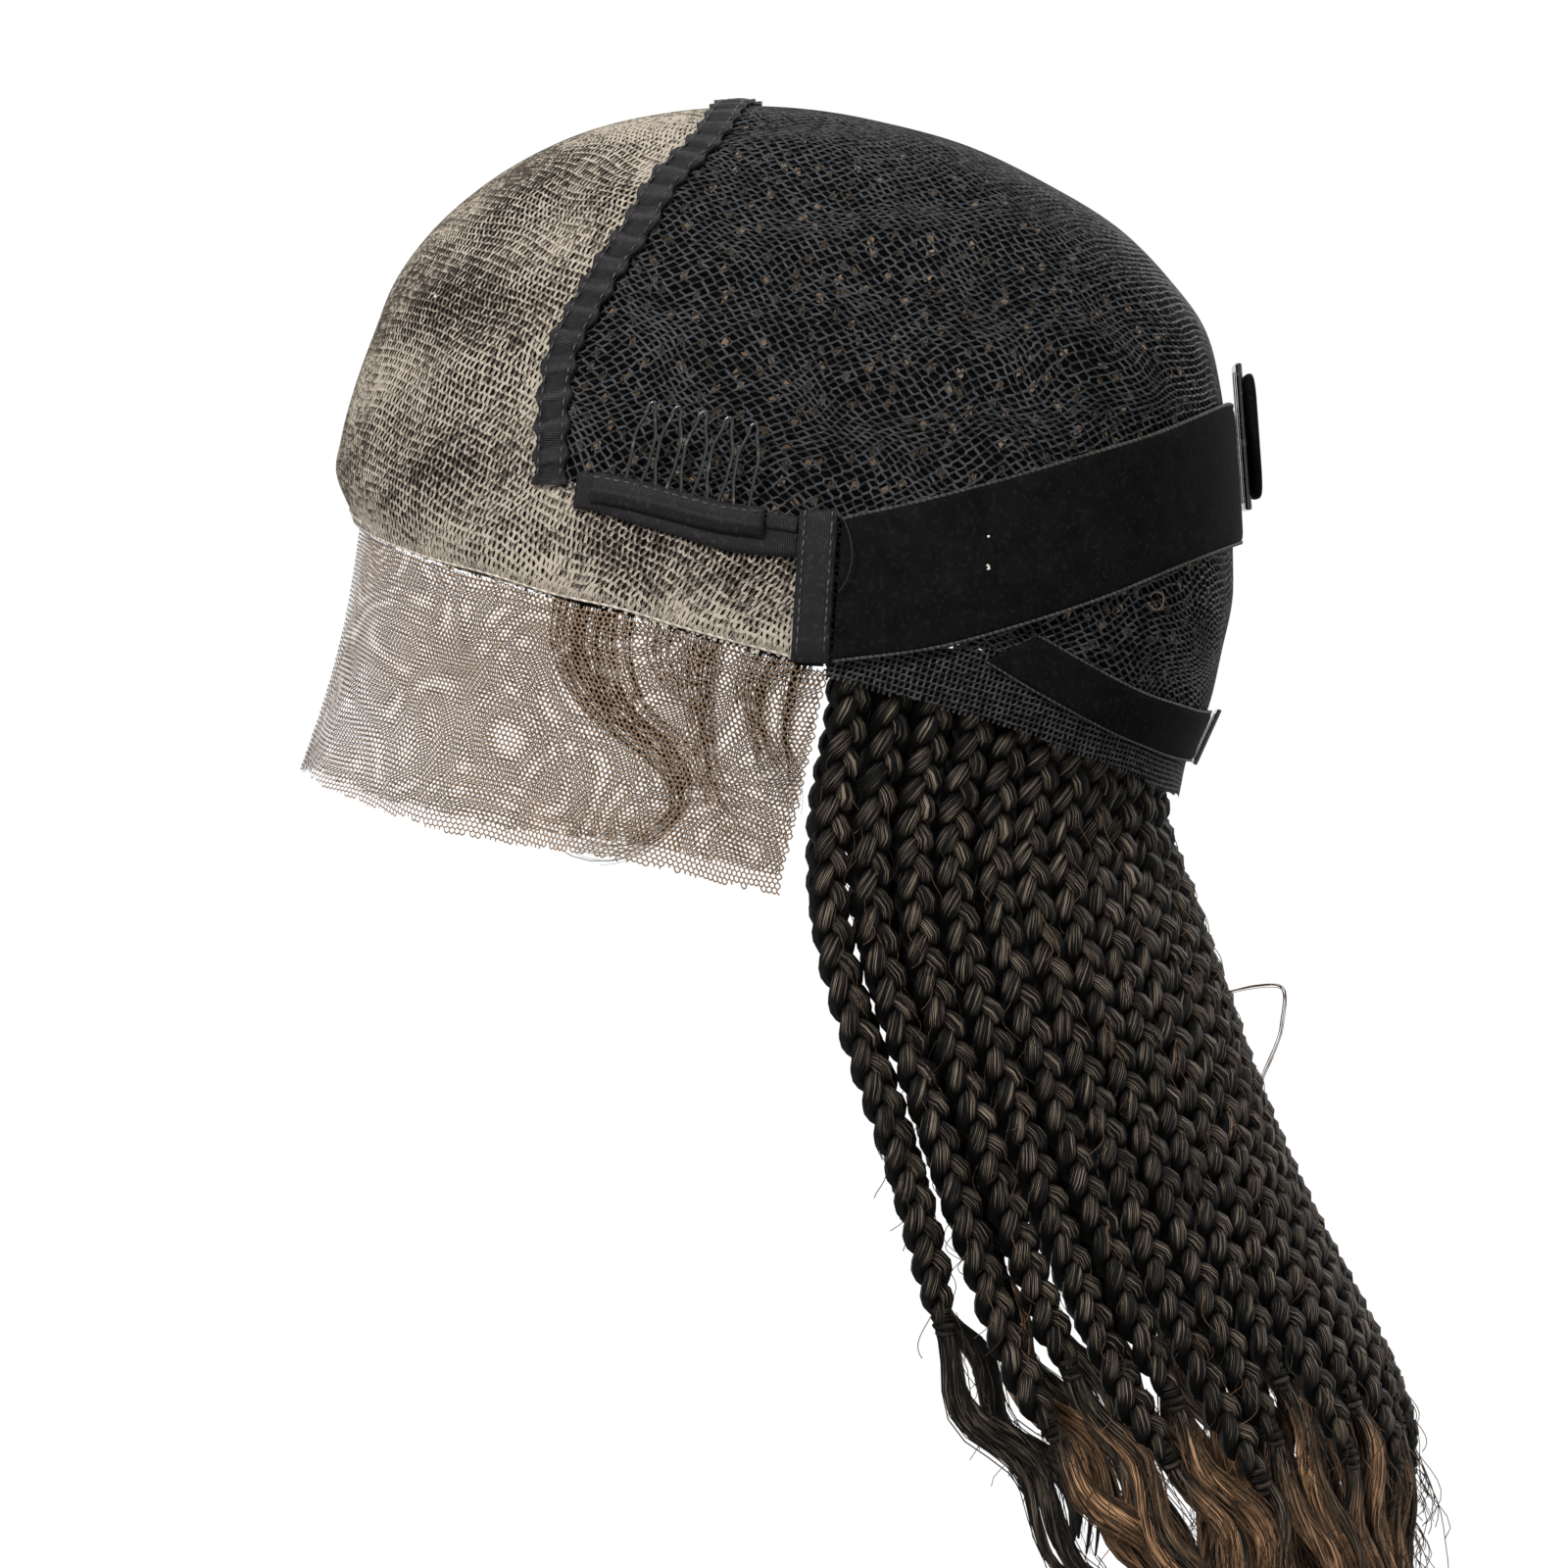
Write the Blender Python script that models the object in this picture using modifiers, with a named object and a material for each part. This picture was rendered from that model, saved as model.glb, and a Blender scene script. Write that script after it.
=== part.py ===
"""A braided wig shown on its cap side: cap panels, lace front, tapes, bands, combs and hanging braids.

Metres, +Z up, the face toward -Y and the wearer's left toward +X. The origin is inside the crown,
on the middle plane, where the cap sits on a head.
"""

import math

import bpy
import numpy as np

MM = 0.001

# Cap sizes
CAP_DEPTH = 207.5 * MM  # forehead to the back of the head, outside
CAP_RISE = 138.2 * MM  # ear centre to the crown, outside
CAP_HALF_WIDTH = 76.0 * MM
CAP_SQUARENESS = 2.35  # 2 would make each section an ellipse
EAR_BACK = 13.6 * MM  # ear centre behind the origin
WALL = 1.2 * MM  # thickness of the knitted panels
GAP = 0.3 * MM  # between one piece and the next
SEAM_GAP = 1.1 * MM  # from a seam line to the edge of a panel, hidden under the trims

# Trim sizes
RIBBON_WIDTH = 7.2 * MM
RIBBON_THICK = 0.9 * MM
RIBBON_RUFFLE = 0.12  # share of the width by which the gathered edge comes and goes
RIBBON_GATHERS = 22
TAPE_THICK = 0.7 * MM
EAR_TAPE_WIDTH = 8.2 * MM
COMB_TAPE_WIDTH = 6.6 * MM
TAB_THICK = 0.9 * MM
BAND_THICK = 1.2 * MM
BAND_REAR_LIFT = 2.6 * MM  # the wide band's outer face above the cap, at the slider
STRAP_THICK = 0.9 * MM
STRAP_GAP = 0.5 * MM
BAND_END_OFF = 1.0 * MM  # from the middle plane to the hidden end of a band
LACE_THICK = 1.0 * MM

# Comb sizes
COMB_WIRE = 0.9 * MM  # wire diameter
COMB_TEETH = 5
COMB_PITCH = 5.8 * MM
COMB_REACH = 21.5 * MM  # foot to tip
COMB_LEAN = 9.0  # degrees toward the back
COMB_LEG_SPREAD = 2.15 * MM  # half the distance between a tooth's two legs
COMB_TIP_LIFT = 4.6 * MM

# Slider sizes
SLIDER_HEIGHT = 34.0 * MM
SLIDER_WIDTH = 12.0 * MM
SLIDER_BAR = 1.8 * MM
SLIDER_THICK = 1.5 * MM
SLIDER_DIRECTION = 33.0  # degrees up from the back, seen from the ear
SLIDER_CLEAR = 0.5 * MM
FOLD_HEIGHT = 29.0 * MM
FOLD_WIDTH = 17.0 * MM
FOLD_THICK = 2.6 * MM
SMALL_SLIDER_HEIGHT = 14.0 * MM
SMALL_SLIDER_WIDTH = 8.0 * MM
SMALL_SLIDER_BAR = 1.2 * MM
SMALL_SLIDER_THICK = 1.0 * MM
SMALL_SLIDER_DIRECTION = -4.0
SMALL_SLIDER_CLEAR = 0.4 * MM

# Lace flap sizes
LACE_WIDTH_SHARE = 0.92  # half width of the lower edge, as a share of the cap's half width
LACE_POINTEDNESS = 1.8  # 2 would make the lower edge's plan an ellipse
LACE_HOLLOW = 2.0 * MM  # how far the flap sinks between its two edges
LACE_FOLD = 0.9 * MM
LACE_FOLDS = 7
LACE_COLUMNS = 15
LACE_ROWS = 7

# Braid sizes
HANG_LENGTH = 225.0 * MM  # ear centre to the lowest loose end
BRAID_HALF_WIDTH = 4.5 * MM
BRAID_HALF_THICK = 3.9 * MM
BRAID_LOBE = 16.0 * MM  # length of one crossing of the strands
INNER_LOBE = 28.0 * MM  # the same in the inner layer
BRAID_SWAY = 0.25 * MM  # sideways step from one crossing to the next
KNOT_HALF_WIDTH = 2.9 * MM
LOCK_HALF_WIDTH = 3.3 * MM
LOCK_END_HALF_WIDTH = 1.3 * MM
LOCK_WAVE = 1.5 * MM
LAYER_STEP = 10.6 * MM  # inner layer of braids behind the outer one, measured level
LAYER_TOP_SHARE = 0.79  # how much of that step is left up in the cap
FRONT_EASE = 0.25  # how much less of it there is at the front end
FRONT_EASE_POWER = 6  # how soon that fades toward the back
UNDER_FRONT = 1.1  # gaps between the nape panel and a braid at the front
UNDER_MORE = 1.4  # gaps more at the middle of the back
HANG_FIRST = 0.1333  # first level of a braid's line, as a share of HANG_LENGTH
HANG_STEP = 0.08
HANG_CLEAR = 14.0 * MM  # least drop from the nape edge to that level
BRAID_START = 6.0 * MM  # how far up inside the cap a braid begins
EDGE_TUCK = 0.4 * MM  # further in where a braid passes the nape edge
BRAID_SIDES = 5
KNOT_LENGTH = 9.0 * MM
LOOSE_POINTS = 5  # in the lock below a knot

# Middle outline of the cap. Columns: direction in degrees from the back upward, reach as a share of CAP_RISE
OUTLINE = (
    (-90.0, 0.800),
    (-40.0, 0.680),
    (-13.5, 0.629),
    (-8.3, 0.630),
    (-0.3, 0.659),
    (8.2, 0.690),
    (14.4, 0.722),
    (19.4, 0.742),
    (30.8, 0.804),
    (37.8, 0.859),
    (43.9, 0.905),
    (50.1, 0.925),
    (56.1, 0.941),
    (66.5, 0.952),
    (74.7, 0.967),
    (83.2, 0.979),
    (88.1, 0.989),
    (95.6, 1.004),
    (104.0, 1.019),
    (111.5, 1.030),
    (118.6, 1.031),
    (124.1, 1.026),
    (129.1, 1.016),
    (135.0, 0.993),
    (139.5, 0.963),
    (145.5, 0.930),
    (150.5, 0.905),
    (154.0, 0.886),
    (157.7, 0.830),
    (175.0, 0.780),
    (270.0, 0.800),
)

# Lines on the cap, seen from the side, each from the middle plane down to the ear. Columns: distance behind
# the ear centre as a share of CAP_DEPTH, height above it as a share of CAP_RISE
HAIRLINE = (
    (-0.508, 0.312),
    (-0.459, 0.265),
    (-0.405, 0.236),
    (-0.345, 0.212),
    (-0.269, 0.177),
    (-0.202, 0.154),
    (-0.141, 0.126),
    (-0.080, 0.101),
    (-0.025, 0.079),
)
CROWN_SEAM = (
    (-0.077, 1.000),
    (-0.121, 0.912),
    (-0.165, 0.836),
    (-0.190, 0.766),
    (-0.216, 0.710),
    (-0.243, 0.641),
    (-0.266, 0.574),
    (-0.276, 0.494),
    (-0.278, 0.412),
    (-0.279, 0.352),
)
EAR_TAPE_LINE = (
    (-0.252, 0.343),
    (-0.235, 0.340),
    (-0.186, 0.318),
    (-0.135, 0.296),
    (-0.098, 0.278),
    (-0.053, 0.268),
    (-0.016, 0.265),
)
CROWN_CORNER = ((-0.278, 0.372),)  # the crown net ends here, above the ear tape
UNDER_TAB = ((0.006, 0.262),)
NAPE_JOIN = (
    (0.426, -0.048),
    (0.385, -0.036),
    (0.325, -0.004),
    (0.250, 0.055),
    (0.190, 0.094),
    (0.124, 0.100),
    (0.070, 0.092),
    (0.018, 0.084),
)
NAPE_EDGE = (
    (0.407, -0.146),
    (0.379, -0.135),
    (0.327, -0.098),
    (0.269, -0.067),
    (0.214, -0.035),
    (0.160, -0.009),
    (0.089, 0.020),
    (0.016, 0.050),
)
BAND_TOP = (
    (0.462, 0.497),
    (0.344, 0.428),
    (0.251, 0.382),
    (0.124, 0.328),
    (0.028, 0.295),
)
BAND_BOTTOM = (
    (0.473, 0.276),
    (0.381, 0.223),
    (0.305, 0.175),
    (0.218, 0.131),
    (0.124, 0.093),
    (0.018, 0.071),
)
STRAP_TOP = (
    (0.434, -0.008),
    (0.404, -0.002),
    (0.344, 0.026),
    (0.269, 0.084),
    (0.235, 0.112),
)
STRAP_BOTTOM = (
    (0.414, -0.089),
    (0.365, -0.071),
    (0.306, -0.034),
    (0.232, 0.024),
    (0.178, 0.072),
)
TAB_TOP = (
    (-0.016, 0.309),
    (0.024, 0.309),
)
TAB_BOTTOM = (
    (-0.026, 0.070),
    (0.014, 0.067),
)
COMB_TAPE_LINE = (
    (-0.234, 0.348),
    (-0.196, 0.337),
    (-0.150, 0.319),
    (-0.098, 0.299),
    (-0.054, 0.290),
)
COMB_FEET = (
    (-0.196, 0.341),
    (-0.075, 0.302),
)
LACE_TOP = (
    (-0.503, 0.300),
    (-0.459, 0.258),
    (-0.405, 0.229),
    (-0.345, 0.205),
    (-0.269, 0.170),
    (-0.202, 0.147),
    (-0.141, 0.119),
    (-0.080, 0.094),
    (-0.025, 0.071),
    (0.016, 0.058),
)
LACE_BOTTOM = (
    (-0.581, -0.109),
    (-0.559, -0.118),
    (-0.520, -0.150),
    (-0.440, -0.188),
    (-0.379, -0.212),
    (-0.288, -0.232),
    (-0.204, -0.249),
    (-0.121, -0.278),
    (-0.038, -0.304),
)

# Raised and sunken places on the panels. Columns: behind the ear centre as a share of CAP_DEPTH, above it as a
# share of CAP_RISE, radius as a share of CAP_RISE, height as a share of DENT_HEIGHT
DENTS = (
    (-0.430, 0.450, 0.116, 1.00),
    (-0.330, 0.620, 0.145, -0.89),
    (-0.300, 0.300, 0.101, 0.89),
    (-0.150, 0.180, 0.087, -0.67),
    (0.200, 0.700, 0.159, 1.00),
    (0.330, 0.560, 0.116, 0.89),
    (0.050, 0.560, 0.174, -0.89),
    (0.280, 0.240, 0.116, -0.67),
)
DENT_HEIGHT = 0.9 * MM
GATHER_HEIGHT = 0.35 * MM  # ribs in the front panel where the seam gathers it
GATHERS = 16

# Points in the panels' grids
PANEL_COLUMNS = 17  # from the middle to the ear
FRONT_ROWS = 10
CROWN_ROWS = 13
END_PULL = 2.5  # how soon the pull of an end line fades toward the middle

# The hanging curtain of braids, seen in plan as half a ring. Columns: depth below the ear centre as a share of
# HANG_LENGTH, front end and back behind the ear as shares of CAP_DEPTH, half width as a share of the cap's
LEVELS = (
    (0.1244, -0.0067, 0.3904, 0.9211),
    (0.1956, -0.0077, 0.4106, 0.9342),
    (0.2800, 0.0096, 0.4429, 0.9408),
    (0.3822, 0.0463, 0.4814, 0.9342),
    (0.4889, 0.0839, 0.5296, 0.9276),
    (0.5778, 0.1104, 0.5778, 0.9211),
    (0.6667, 0.1393, 0.6284, 0.9145),
    (0.7467, 0.1971, 0.6622, 0.9079),
    (0.8578, 0.2887, 0.6573, 0.8947),
    (1.0000, 0.3393, 0.6573, 0.8816),
)
DRIFT_FROM = 0.436  # share of HANG_LENGTH above which the braids hang side by side
DRIFT_TO = 0.791

# The braids of one side from the front to the back. Columns: depth of the knot and of the loose end below the
# ear as shares of HANG_LENGTH, how far the end drifts to the back as a share of the space between two braids
BRAIDS = (
    (0.600, 0.929, -0.25),
    (0.707, 0.982, 0.25),
    (0.649, 0.996, 0.42),
    (0.738, 1.000, 0.40),
    (0.680, 0.964, 0.33),
    (0.764, 0.991, 0.30),
    (0.720, 0.996, 0.22),
    (0.667, 0.956, 0.14),
    (0.751, 1.000, 0.12),
    (0.698, 0.978, 0.08),
    (0.769, 1.000, 0.06),
    (0.729, 0.969, 0.00),
    (0.778, 0.996, 0.00),
)
INNER_BRAIDS = (
    (0.556, 0.920, -0.10),
    (0.658, 0.956, 0.20),
    (0.600, 0.978, 0.10),
    (0.693, 0.947, -0.15),
    (0.627, 0.982, 0.05),
    (0.671, 0.938, 0.00),
)

# Finishes. Columns: red, green, blue, roughness, metallic
FINISHES = {
    "taupe_knit": (0.36, 0.28, 0.20, 0.90, 0.0),
    "black_net": (0.012, 0.013, 0.015, 0.80, 0.0),
    "sheer_lace": (0.42, 0.31, 0.21, 0.80, 0.0),
    "black_satin": (0.022, 0.020, 0.023, 0.50, 0.0),
    "black_elastic": (0.007, 0.007, 0.008, 0.90, 0.0),
    "black_metal": (0.010, 0.010, 0.011, 0.30, 1.0),
    "dark_braid": (0.014, 0.011, 0.009, 0.45, 0.0),
}

EAR = np.array((0.0, EAR_BACK, WALL - CAP_RISE))
ROUND = np.array((CAP_HALF_WIDTH, CAP_RISE, CAP_RISE))


def eased(xs, ys, x):
    """The values at x of a smooth curve through a table."""
    xs = np.asarray(xs, float)
    ys = np.asarray(ys, float)
    slopes = np.gradient(ys, xs)
    i = np.clip(np.searchsorted(xs, x) - 1, 0, len(xs) - 2)
    step = xs[i + 1] - xs[i]
    t = np.clip((x - xs[i]) / step, 0.0, 1.0)
    start = (1 + 2 * t) * (1 - t) ** 2 * ys[i] + t * (1 - t) ** 2 * step * slopes[i]
    end = t**2 * (3 - 2 * t) * ys[i + 1] - t**2 * (1 - t) * step * slopes[i + 1]
    return start + end


def spread(points, count):
    """Points evenly spaced along a smooth curve through the given ones."""
    points = np.asarray(points, float)
    runs = np.concatenate([[0.0], np.cumsum(np.linalg.norm(np.diff(points, axis=0), axis=1))])
    fine = np.linspace(0.0, runs[-1], 400)
    dense = np.stack([eased(runs, axis, fine) for axis in points.T], axis=1)
    lengths = np.concatenate([[0.0], np.cumsum(np.linalg.norm(np.diff(dense, axis=0), axis=1))])
    wanted = np.linspace(0.0, lengths[-1], count)
    return np.stack([np.interp(wanted, lengths, axis) for axis in dense.T], axis=1)


def reach(direction):
    """Distance from the ear centre to the cap's middle outline."""
    directions, shares = zip(*OUTLINE)
    return CAP_RISE * eased(directions, shares, direction)


def share_out(points):
    """How far each point is on its way from the ear centre to the cap's outer face, which is at 1."""
    offset = points - EAR
    direction = np.degrees(np.arctan2(offset[..., 2], offset[..., 1]))
    direction = np.where(direction < -90.0, direction + 360.0, direction)
    flat = np.hypot(offset[..., 1], offset[..., 2]) / reach(direction)
    wide = np.abs(offset[..., 0]) / CAP_HALF_WIDTH
    return (flat**CAP_SQUARENESS + wide**CAP_SQUARENESS) ** (1.0 / CAP_SQUARENESS)


def outward(points):
    """The cap's outward normals at points on it."""
    step = 0.5 * MM
    slopes = []
    for axis in np.eye(3):
        slopes.append(share_out(points + axis * step) - share_out(points - axis * step))
    normals = np.stack(slopes, axis=-1)
    return normals / np.linalg.norm(normals, axis=-1, keepdims=True)


def seat(points, lift=0.0):
    """Points brought to the cap's outer face along rays from the ear centre, then lifted off it."""
    on_face = EAR + (points - EAR) / share_out(points)[..., None]
    return on_face + outward(on_face) * np.asarray(lift)[..., None]


def side_line(table, from_middle=True):
    """A line on the cap from its side view, as points on the left half."""
    along, up = np.asarray(table, float).T
    y = along * CAP_DEPTH
    z = up * CAP_RISE
    out = np.minimum(np.hypot(y, z) / reach(np.degrees(np.arctan2(z, y))), 1.0)
    x = CAP_HALF_WIDTH * (1.0 - out**CAP_SQUARENESS) ** (1.0 / CAP_SQUARENESS)
    if from_middle:
        x[0] = 0.0
    return seat(np.stack([x, y, z], axis=1) + EAR)


def both_sides(half):
    """A line from the left ear over the middle to the right ear, from its left half."""
    return np.concatenate([half[::-1], half[1:] * (-1, 1, 1)])


def ruled(first, last, rows):
    """Rows of points over the cap from one line to another."""
    start = (first - EAR) / ROUND
    end = (last - EAR) / ROUND
    start /= np.linalg.norm(start, axis=-1, keepdims=True)
    end /= np.linalg.norm(end, axis=-1, keepdims=True)
    angle = np.arccos(np.clip((start * end).sum(axis=-1, keepdims=True), -1.0, 1.0))
    grid = []
    for t in np.linspace(0.0, 1.0, rows):
        turned = (np.sin((1 - t) * angle) * start + np.sin(t * angle) * end) / np.sin(angle)
        grid.append(seat(EAR + turned * ROUND))
    return np.stack(grid)


def trimmed(line, other, by):
    """A line on the cap moved sideways over it, toward another line, by a distance."""
    sideways = np.cross(outward(line), np.gradient(line, axis=0))
    sideways /= np.linalg.norm(sideways, axis=1, keepdims=True)
    middle = len(line) // 2
    toward = np.sign(sideways[middle] @ (other[middle] - line[middle]))
    return seat(line + sideways * toward * by)


def ended(grid, end):
    """A grid of both sides, with its outer columns drawn to follow an end line on the left, and its mirror."""
    columns = grid.shape[1]
    half = columns // 2
    pull = (np.abs(np.arange(columns) - half) / half)[None, :, None] ** END_PULL
    left = (end - grid[:, 0])[:, None, :]
    mirrored = left * (-1, 1, 1)
    on_left = (np.arange(columns) < half)[None, :, None]
    return seat(grid + np.where(on_left, left, mirrored) * pull)


def dented(grid):
    """How far the shallow dents raise each point of a panel."""
    raised = np.zeros(grid.shape[:2])
    for along, up, radius, height in DENTS:
        y = EAR_BACK + along * CAP_DEPTH
        z = EAR[2] + up * CAP_RISE
        away = np.hypot(grid[..., 1] - y, grid[..., 2] - z) / (radius * CAP_RISE)
        raised += height * DENT_HEIGHT * np.exp(-(away**2))
    return raised


def above(grid, lift):
    """A grid lifted off the panels, dents and all."""
    return seat(grid, lift + dented(grid))


def strip(line, half_width, rows=3):
    """A tape that follows a line on the cap."""
    normals = outward(line)
    sideways = np.cross(normals, np.gradient(line, axis=0))
    sideways /= np.linalg.norm(sideways, axis=1, keepdims=True)
    half = np.broadcast_to(half_width, len(line))[:, None]
    grid = []
    for share in np.linspace(-1.0, 1.0, rows):
        grid.append(seat(line + sideways * half * share))
    return np.stack(grid)


def material(finish):
    """A plain finish by its name."""
    made = bpy.data.materials.get(finish)
    if made is None:
        red, green, blue, roughness, metallic = FINISHES[finish]
        made = bpy.data.materials.new(finish)
        made.use_nodes = True
        shader = made.node_tree.nodes["Principled BSDF"]
        shader.inputs["Base Color"].default_value = (red, green, blue, 1.0)
        shader.inputs["Roughness"].default_value = roughness
        shader.inputs["Metallic"].default_value = metallic
        made.diffuse_color = (red, green, blue, 1.0)
    return made


def add_object(name, points, faces, finish, collection, smooth=True):
    """An object of the wig from its points and faces."""
    mesh = bpy.data.meshes.new(name)
    mesh.from_pydata([tuple(point) for point in points], [], faces)
    mesh.materials.append(material(finish))
    mesh.shade_smooth() if smooth else mesh.shade_flat()
    made = bpy.data.objects.new(name, mesh)
    collection.objects.link(made)
    return made


def add_sheet(name, outer, inner, finish, collection):
    """A cloth between two grids of points, closed round its edges."""
    rows, columns = outer.shape[:2]
    points = np.concatenate([outer.reshape(-1, 3), inner.reshape(-1, 3)])
    under = rows * columns
    middle = (rows // 2) * columns + columns // 2
    normal = np.cross(points[middle] - points[middle - 1], points[middle] - points[middle - columns])
    forward = normal @ (points[middle] - points[middle + under]) > 0
    faces = []
    for row in range(rows - 1):
        for column in range(columns - 1):
            corner = row * columns + column
            face = (corner, corner + 1, corner + columns + 1, corner + columns)
            faces.append(face)
            faces.append(tuple(k + under for k in face[::-1]))
    rim = [*range(columns), *range(2 * columns - 1, under, columns)]
    rim += [*range(under - 2, under - columns - 1, -1), *range(under - 2 * columns, 0, -columns)]
    for here, after in zip(rim, rim[1:] + rim[:1]):
        faces.append((after, here, here + under, after + under))
    if not forward:
        faces = [face[::-1] for face in faces]
    return add_object(name, points, faces, finish, collection)


def add_layer(name, grid, lift, thick, finish, collection, turn=(1, 1, 1)):
    """A cloth of even thickness on the cap, its outer face lifted off the panels' own outer face."""
    add_sheet(name, above(grid, lift) * turn, above(grid, lift - thick) * turn, finish, collection)


def add_tube(name, path, widths, thicknesses, sides, finish, collection, mirror):
    """A closed tube with oval sections along a path, or its mirror."""
    tangent = np.gradient(path, axis=0)
    tangent /= np.linalg.norm(tangent, axis=1, keepdims=True)
    out = path * (1, 1, 0) - np.array((0.0, path[:, 1].mean() - CAP_HALF_WIDTH / 2, 0.0))
    across = np.cross(tangent, out)
    across /= np.linalg.norm(across, axis=1, keepdims=True)
    out = np.cross(across, tangent)
    points = []
    for k in range(sides):
        turn = math.tau * k / sides
        sideways = across * (widths * math.cos(turn))[:, None]
        points.append(path + sideways + out * (thicknesses * math.sin(turn))[:, None])
    points = np.stack(points, axis=1).reshape(-1, 3) * (mirror, 1, 1)
    faces = []
    for row in range(len(path) - 1):
        for k in range(sides):
            after = (k + 1) % sides
            faces.append((row * sides + k, row * sides + after, (row + 1) * sides + after, (row + 1) * sides + k))
    faces.append(tuple(range(sides))[::-1])
    faces.append(tuple(range(len(points) - sides, len(points))))
    volume = 0.0
    for face in faces:
        for k in range(1, len(face) - 1):
            volume += np.dot(points[face[0]], np.cross(points[face[k]], points[face[k + 1]]))
    if volume < 0:
        faces = [face[::-1] for face in faces]
    return add_object(name, points, faces, finish, collection)


def add_box(name, centre, axes, size, finish, collection, bevel=0.0):
    """A box with rounded edges, turned to the given axes."""
    corners = []
    for x in (-0.5, 0.5):
        for y in (-0.5, 0.5):
            for z in (-0.5, 0.5):
                corners.append(centre + axes[0] * size[0] * x + axes[1] * size[1] * y + axes[2] * size[2] * z)
    faces = [(0, 1, 3, 2), (4, 6, 7, 5), (0, 4, 5, 1), (2, 3, 7, 6), (0, 2, 6, 4), (1, 5, 7, 3)]
    made = add_object(name, corners, faces, finish, collection, smooth=False)
    if bevel:
        rounding = made.modifiers.new("Rounding", "BEVEL")
        rounding.width = bevel
        rounding.segments = 2
    return made


def cut(target, cutter):
    """Cuts one object out of another."""
    slot = target.modifiers.new("Slot", "BOOLEAN")
    slot.operation = "DIFFERENCE"
    slot.solver = "EXACT"
    slot.object = cutter


def build_panels(wig):
    """The three cap panels."""
    seam_row = both_sides(spread(side_line(CROWN_SEAM + EAR_TAPE_LINE[1:]), PANEL_COLUMNS))
    hair_row = both_sides(spread(side_line(HAIRLINE), PANEL_COLUMNS))
    join_row = both_sides(spread(side_line(NAPE_JOIN), PANEL_COLUMNS))
    nape_row = both_sides(spread(side_line(NAPE_EDGE), PANEL_COLUMNS))
    front = ruled(hair_row, trimmed(seam_row, hair_row, SEAM_GAP), FRONT_ROWS)
    around = np.linspace(-1.0, 1.0, 2 * PANEL_COLUMNS - 1)
    near_seam = np.linspace(0.0, 1.0, FRONT_ROWS)[:, None] ** 2
    gathers = GATHER_HEIGHT * near_seam * (np.cos(around * GATHERS * math.pi) - 1)[None, :]
    add_layer("front_lace_panel", front, gathers, WALL, "taupe_knit", wig)
    crown_row = both_sides(spread(side_line(CROWN_SEAM[:-1] + CROWN_CORNER), PANEL_COLUMNS))
    first = trimmed(crown_row, join_row, SEAM_GAP)
    last = trimmed(join_row, crown_row, SEAM_GAP)
    over_tape = side_line(EAR_TAPE_LINE[:-1] + UNDER_TAB, False) + (0.0, 0.0, SEAM_GAP)
    end = spread(np.concatenate([first[:1], over_tape, last[:1]]), CROWN_ROWS)
    crown = ended(ruled(first, last, CROWN_ROWS), end)
    add_layer("crown_net", crown, 0.0, WALL, "black_net", wig)
    nape = ruled(trimmed(join_row, nape_row, SEAM_GAP), nape_row, 3)
    add_layer("nape_panel", nape, 0.0, WALL, "black_net", wig)


def build_trims(wig):
    """The ribbon over the crown seam, and each side's tapes, tab, band and strap."""
    seam = both_sides(spread(side_line(CROWN_SEAM), 23))
    ruffle = 1 + RIBBON_RUFFLE * np.cos(np.linspace(-1.0, 1.0, len(seam)) * RIBBON_GATHERS * math.pi)
    ribbon_lift = 2 * GAP + RIBBON_THICK
    ribbon = strip(seam, RIBBON_WIDTH / 2 * ruffle)
    add_layer("crown_seam_ribbon", ribbon, ribbon_lift, RIBBON_THICK, "black_satin", wig)
    tape_lift = 1.5 * GAP + TAPE_THICK
    cover_lift = tape_lift + 2 * GAP + COMB_WIRE + TAPE_THICK
    tab_lift = tape_lift + GAP + TAB_THICK
    tape = strip(spread(side_line(EAR_TAPE_LINE, False), 10), EAR_TAPE_WIDTH / 2)
    cover = strip(spread(side_line(COMB_TAPE_LINE, False), 8), COMB_TAPE_WIDTH / 2)
    tab = ruled(spread(side_line(TAB_TOP, False), 3), spread(side_line(TAB_BOTTOM, False), 3), 6)
    band = ruled(spread(side_line(BAND_TOP), 13), spread(side_line(BAND_BOTTOM), 13), 4)
    rearward = np.linspace(1.0, 0.0, 13)[None, :] ** 2 * np.ones((4, 1))
    band_lift = tab_lift + (BAND_REAR_LIFT - tab_lift) * rearward
    strap = ruled(spread(side_line(STRAP_TOP), 10), spread(side_line(STRAP_BOTTOM), 10), 3)
    strap_lift = STRAP_GAP + STRAP_THICK
    for side, turn in (("left", (1, 1, 1)), ("right", (-1, 1, 1))):
        add_layer("ear_tape_" + side, tape, tape_lift, TAPE_THICK, "black_satin", wig, turn)
        add_layer("comb_tape_" + side, cover, cover_lift, TAPE_THICK, "black_satin", wig, turn)
        add_layer("side_tab_" + side, tab, tab_lift, TAB_THICK, "black_satin", wig, turn)
        add_layer("wide_band_" + side, off_middle(band), band_lift, BAND_THICK, "black_elastic", wig, turn)
        add_layer("nape_strap_" + side, off_middle(strap), strap_lift, STRAP_THICK, "black_elastic", wig, turn)


def off_middle(grid):
    """A band's grid, with its rear end kept off the middle plane."""
    grid = grid.copy()
    grid[..., 0] = np.maximum(grid[..., 0], BAND_END_OFF)
    return grid


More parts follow.
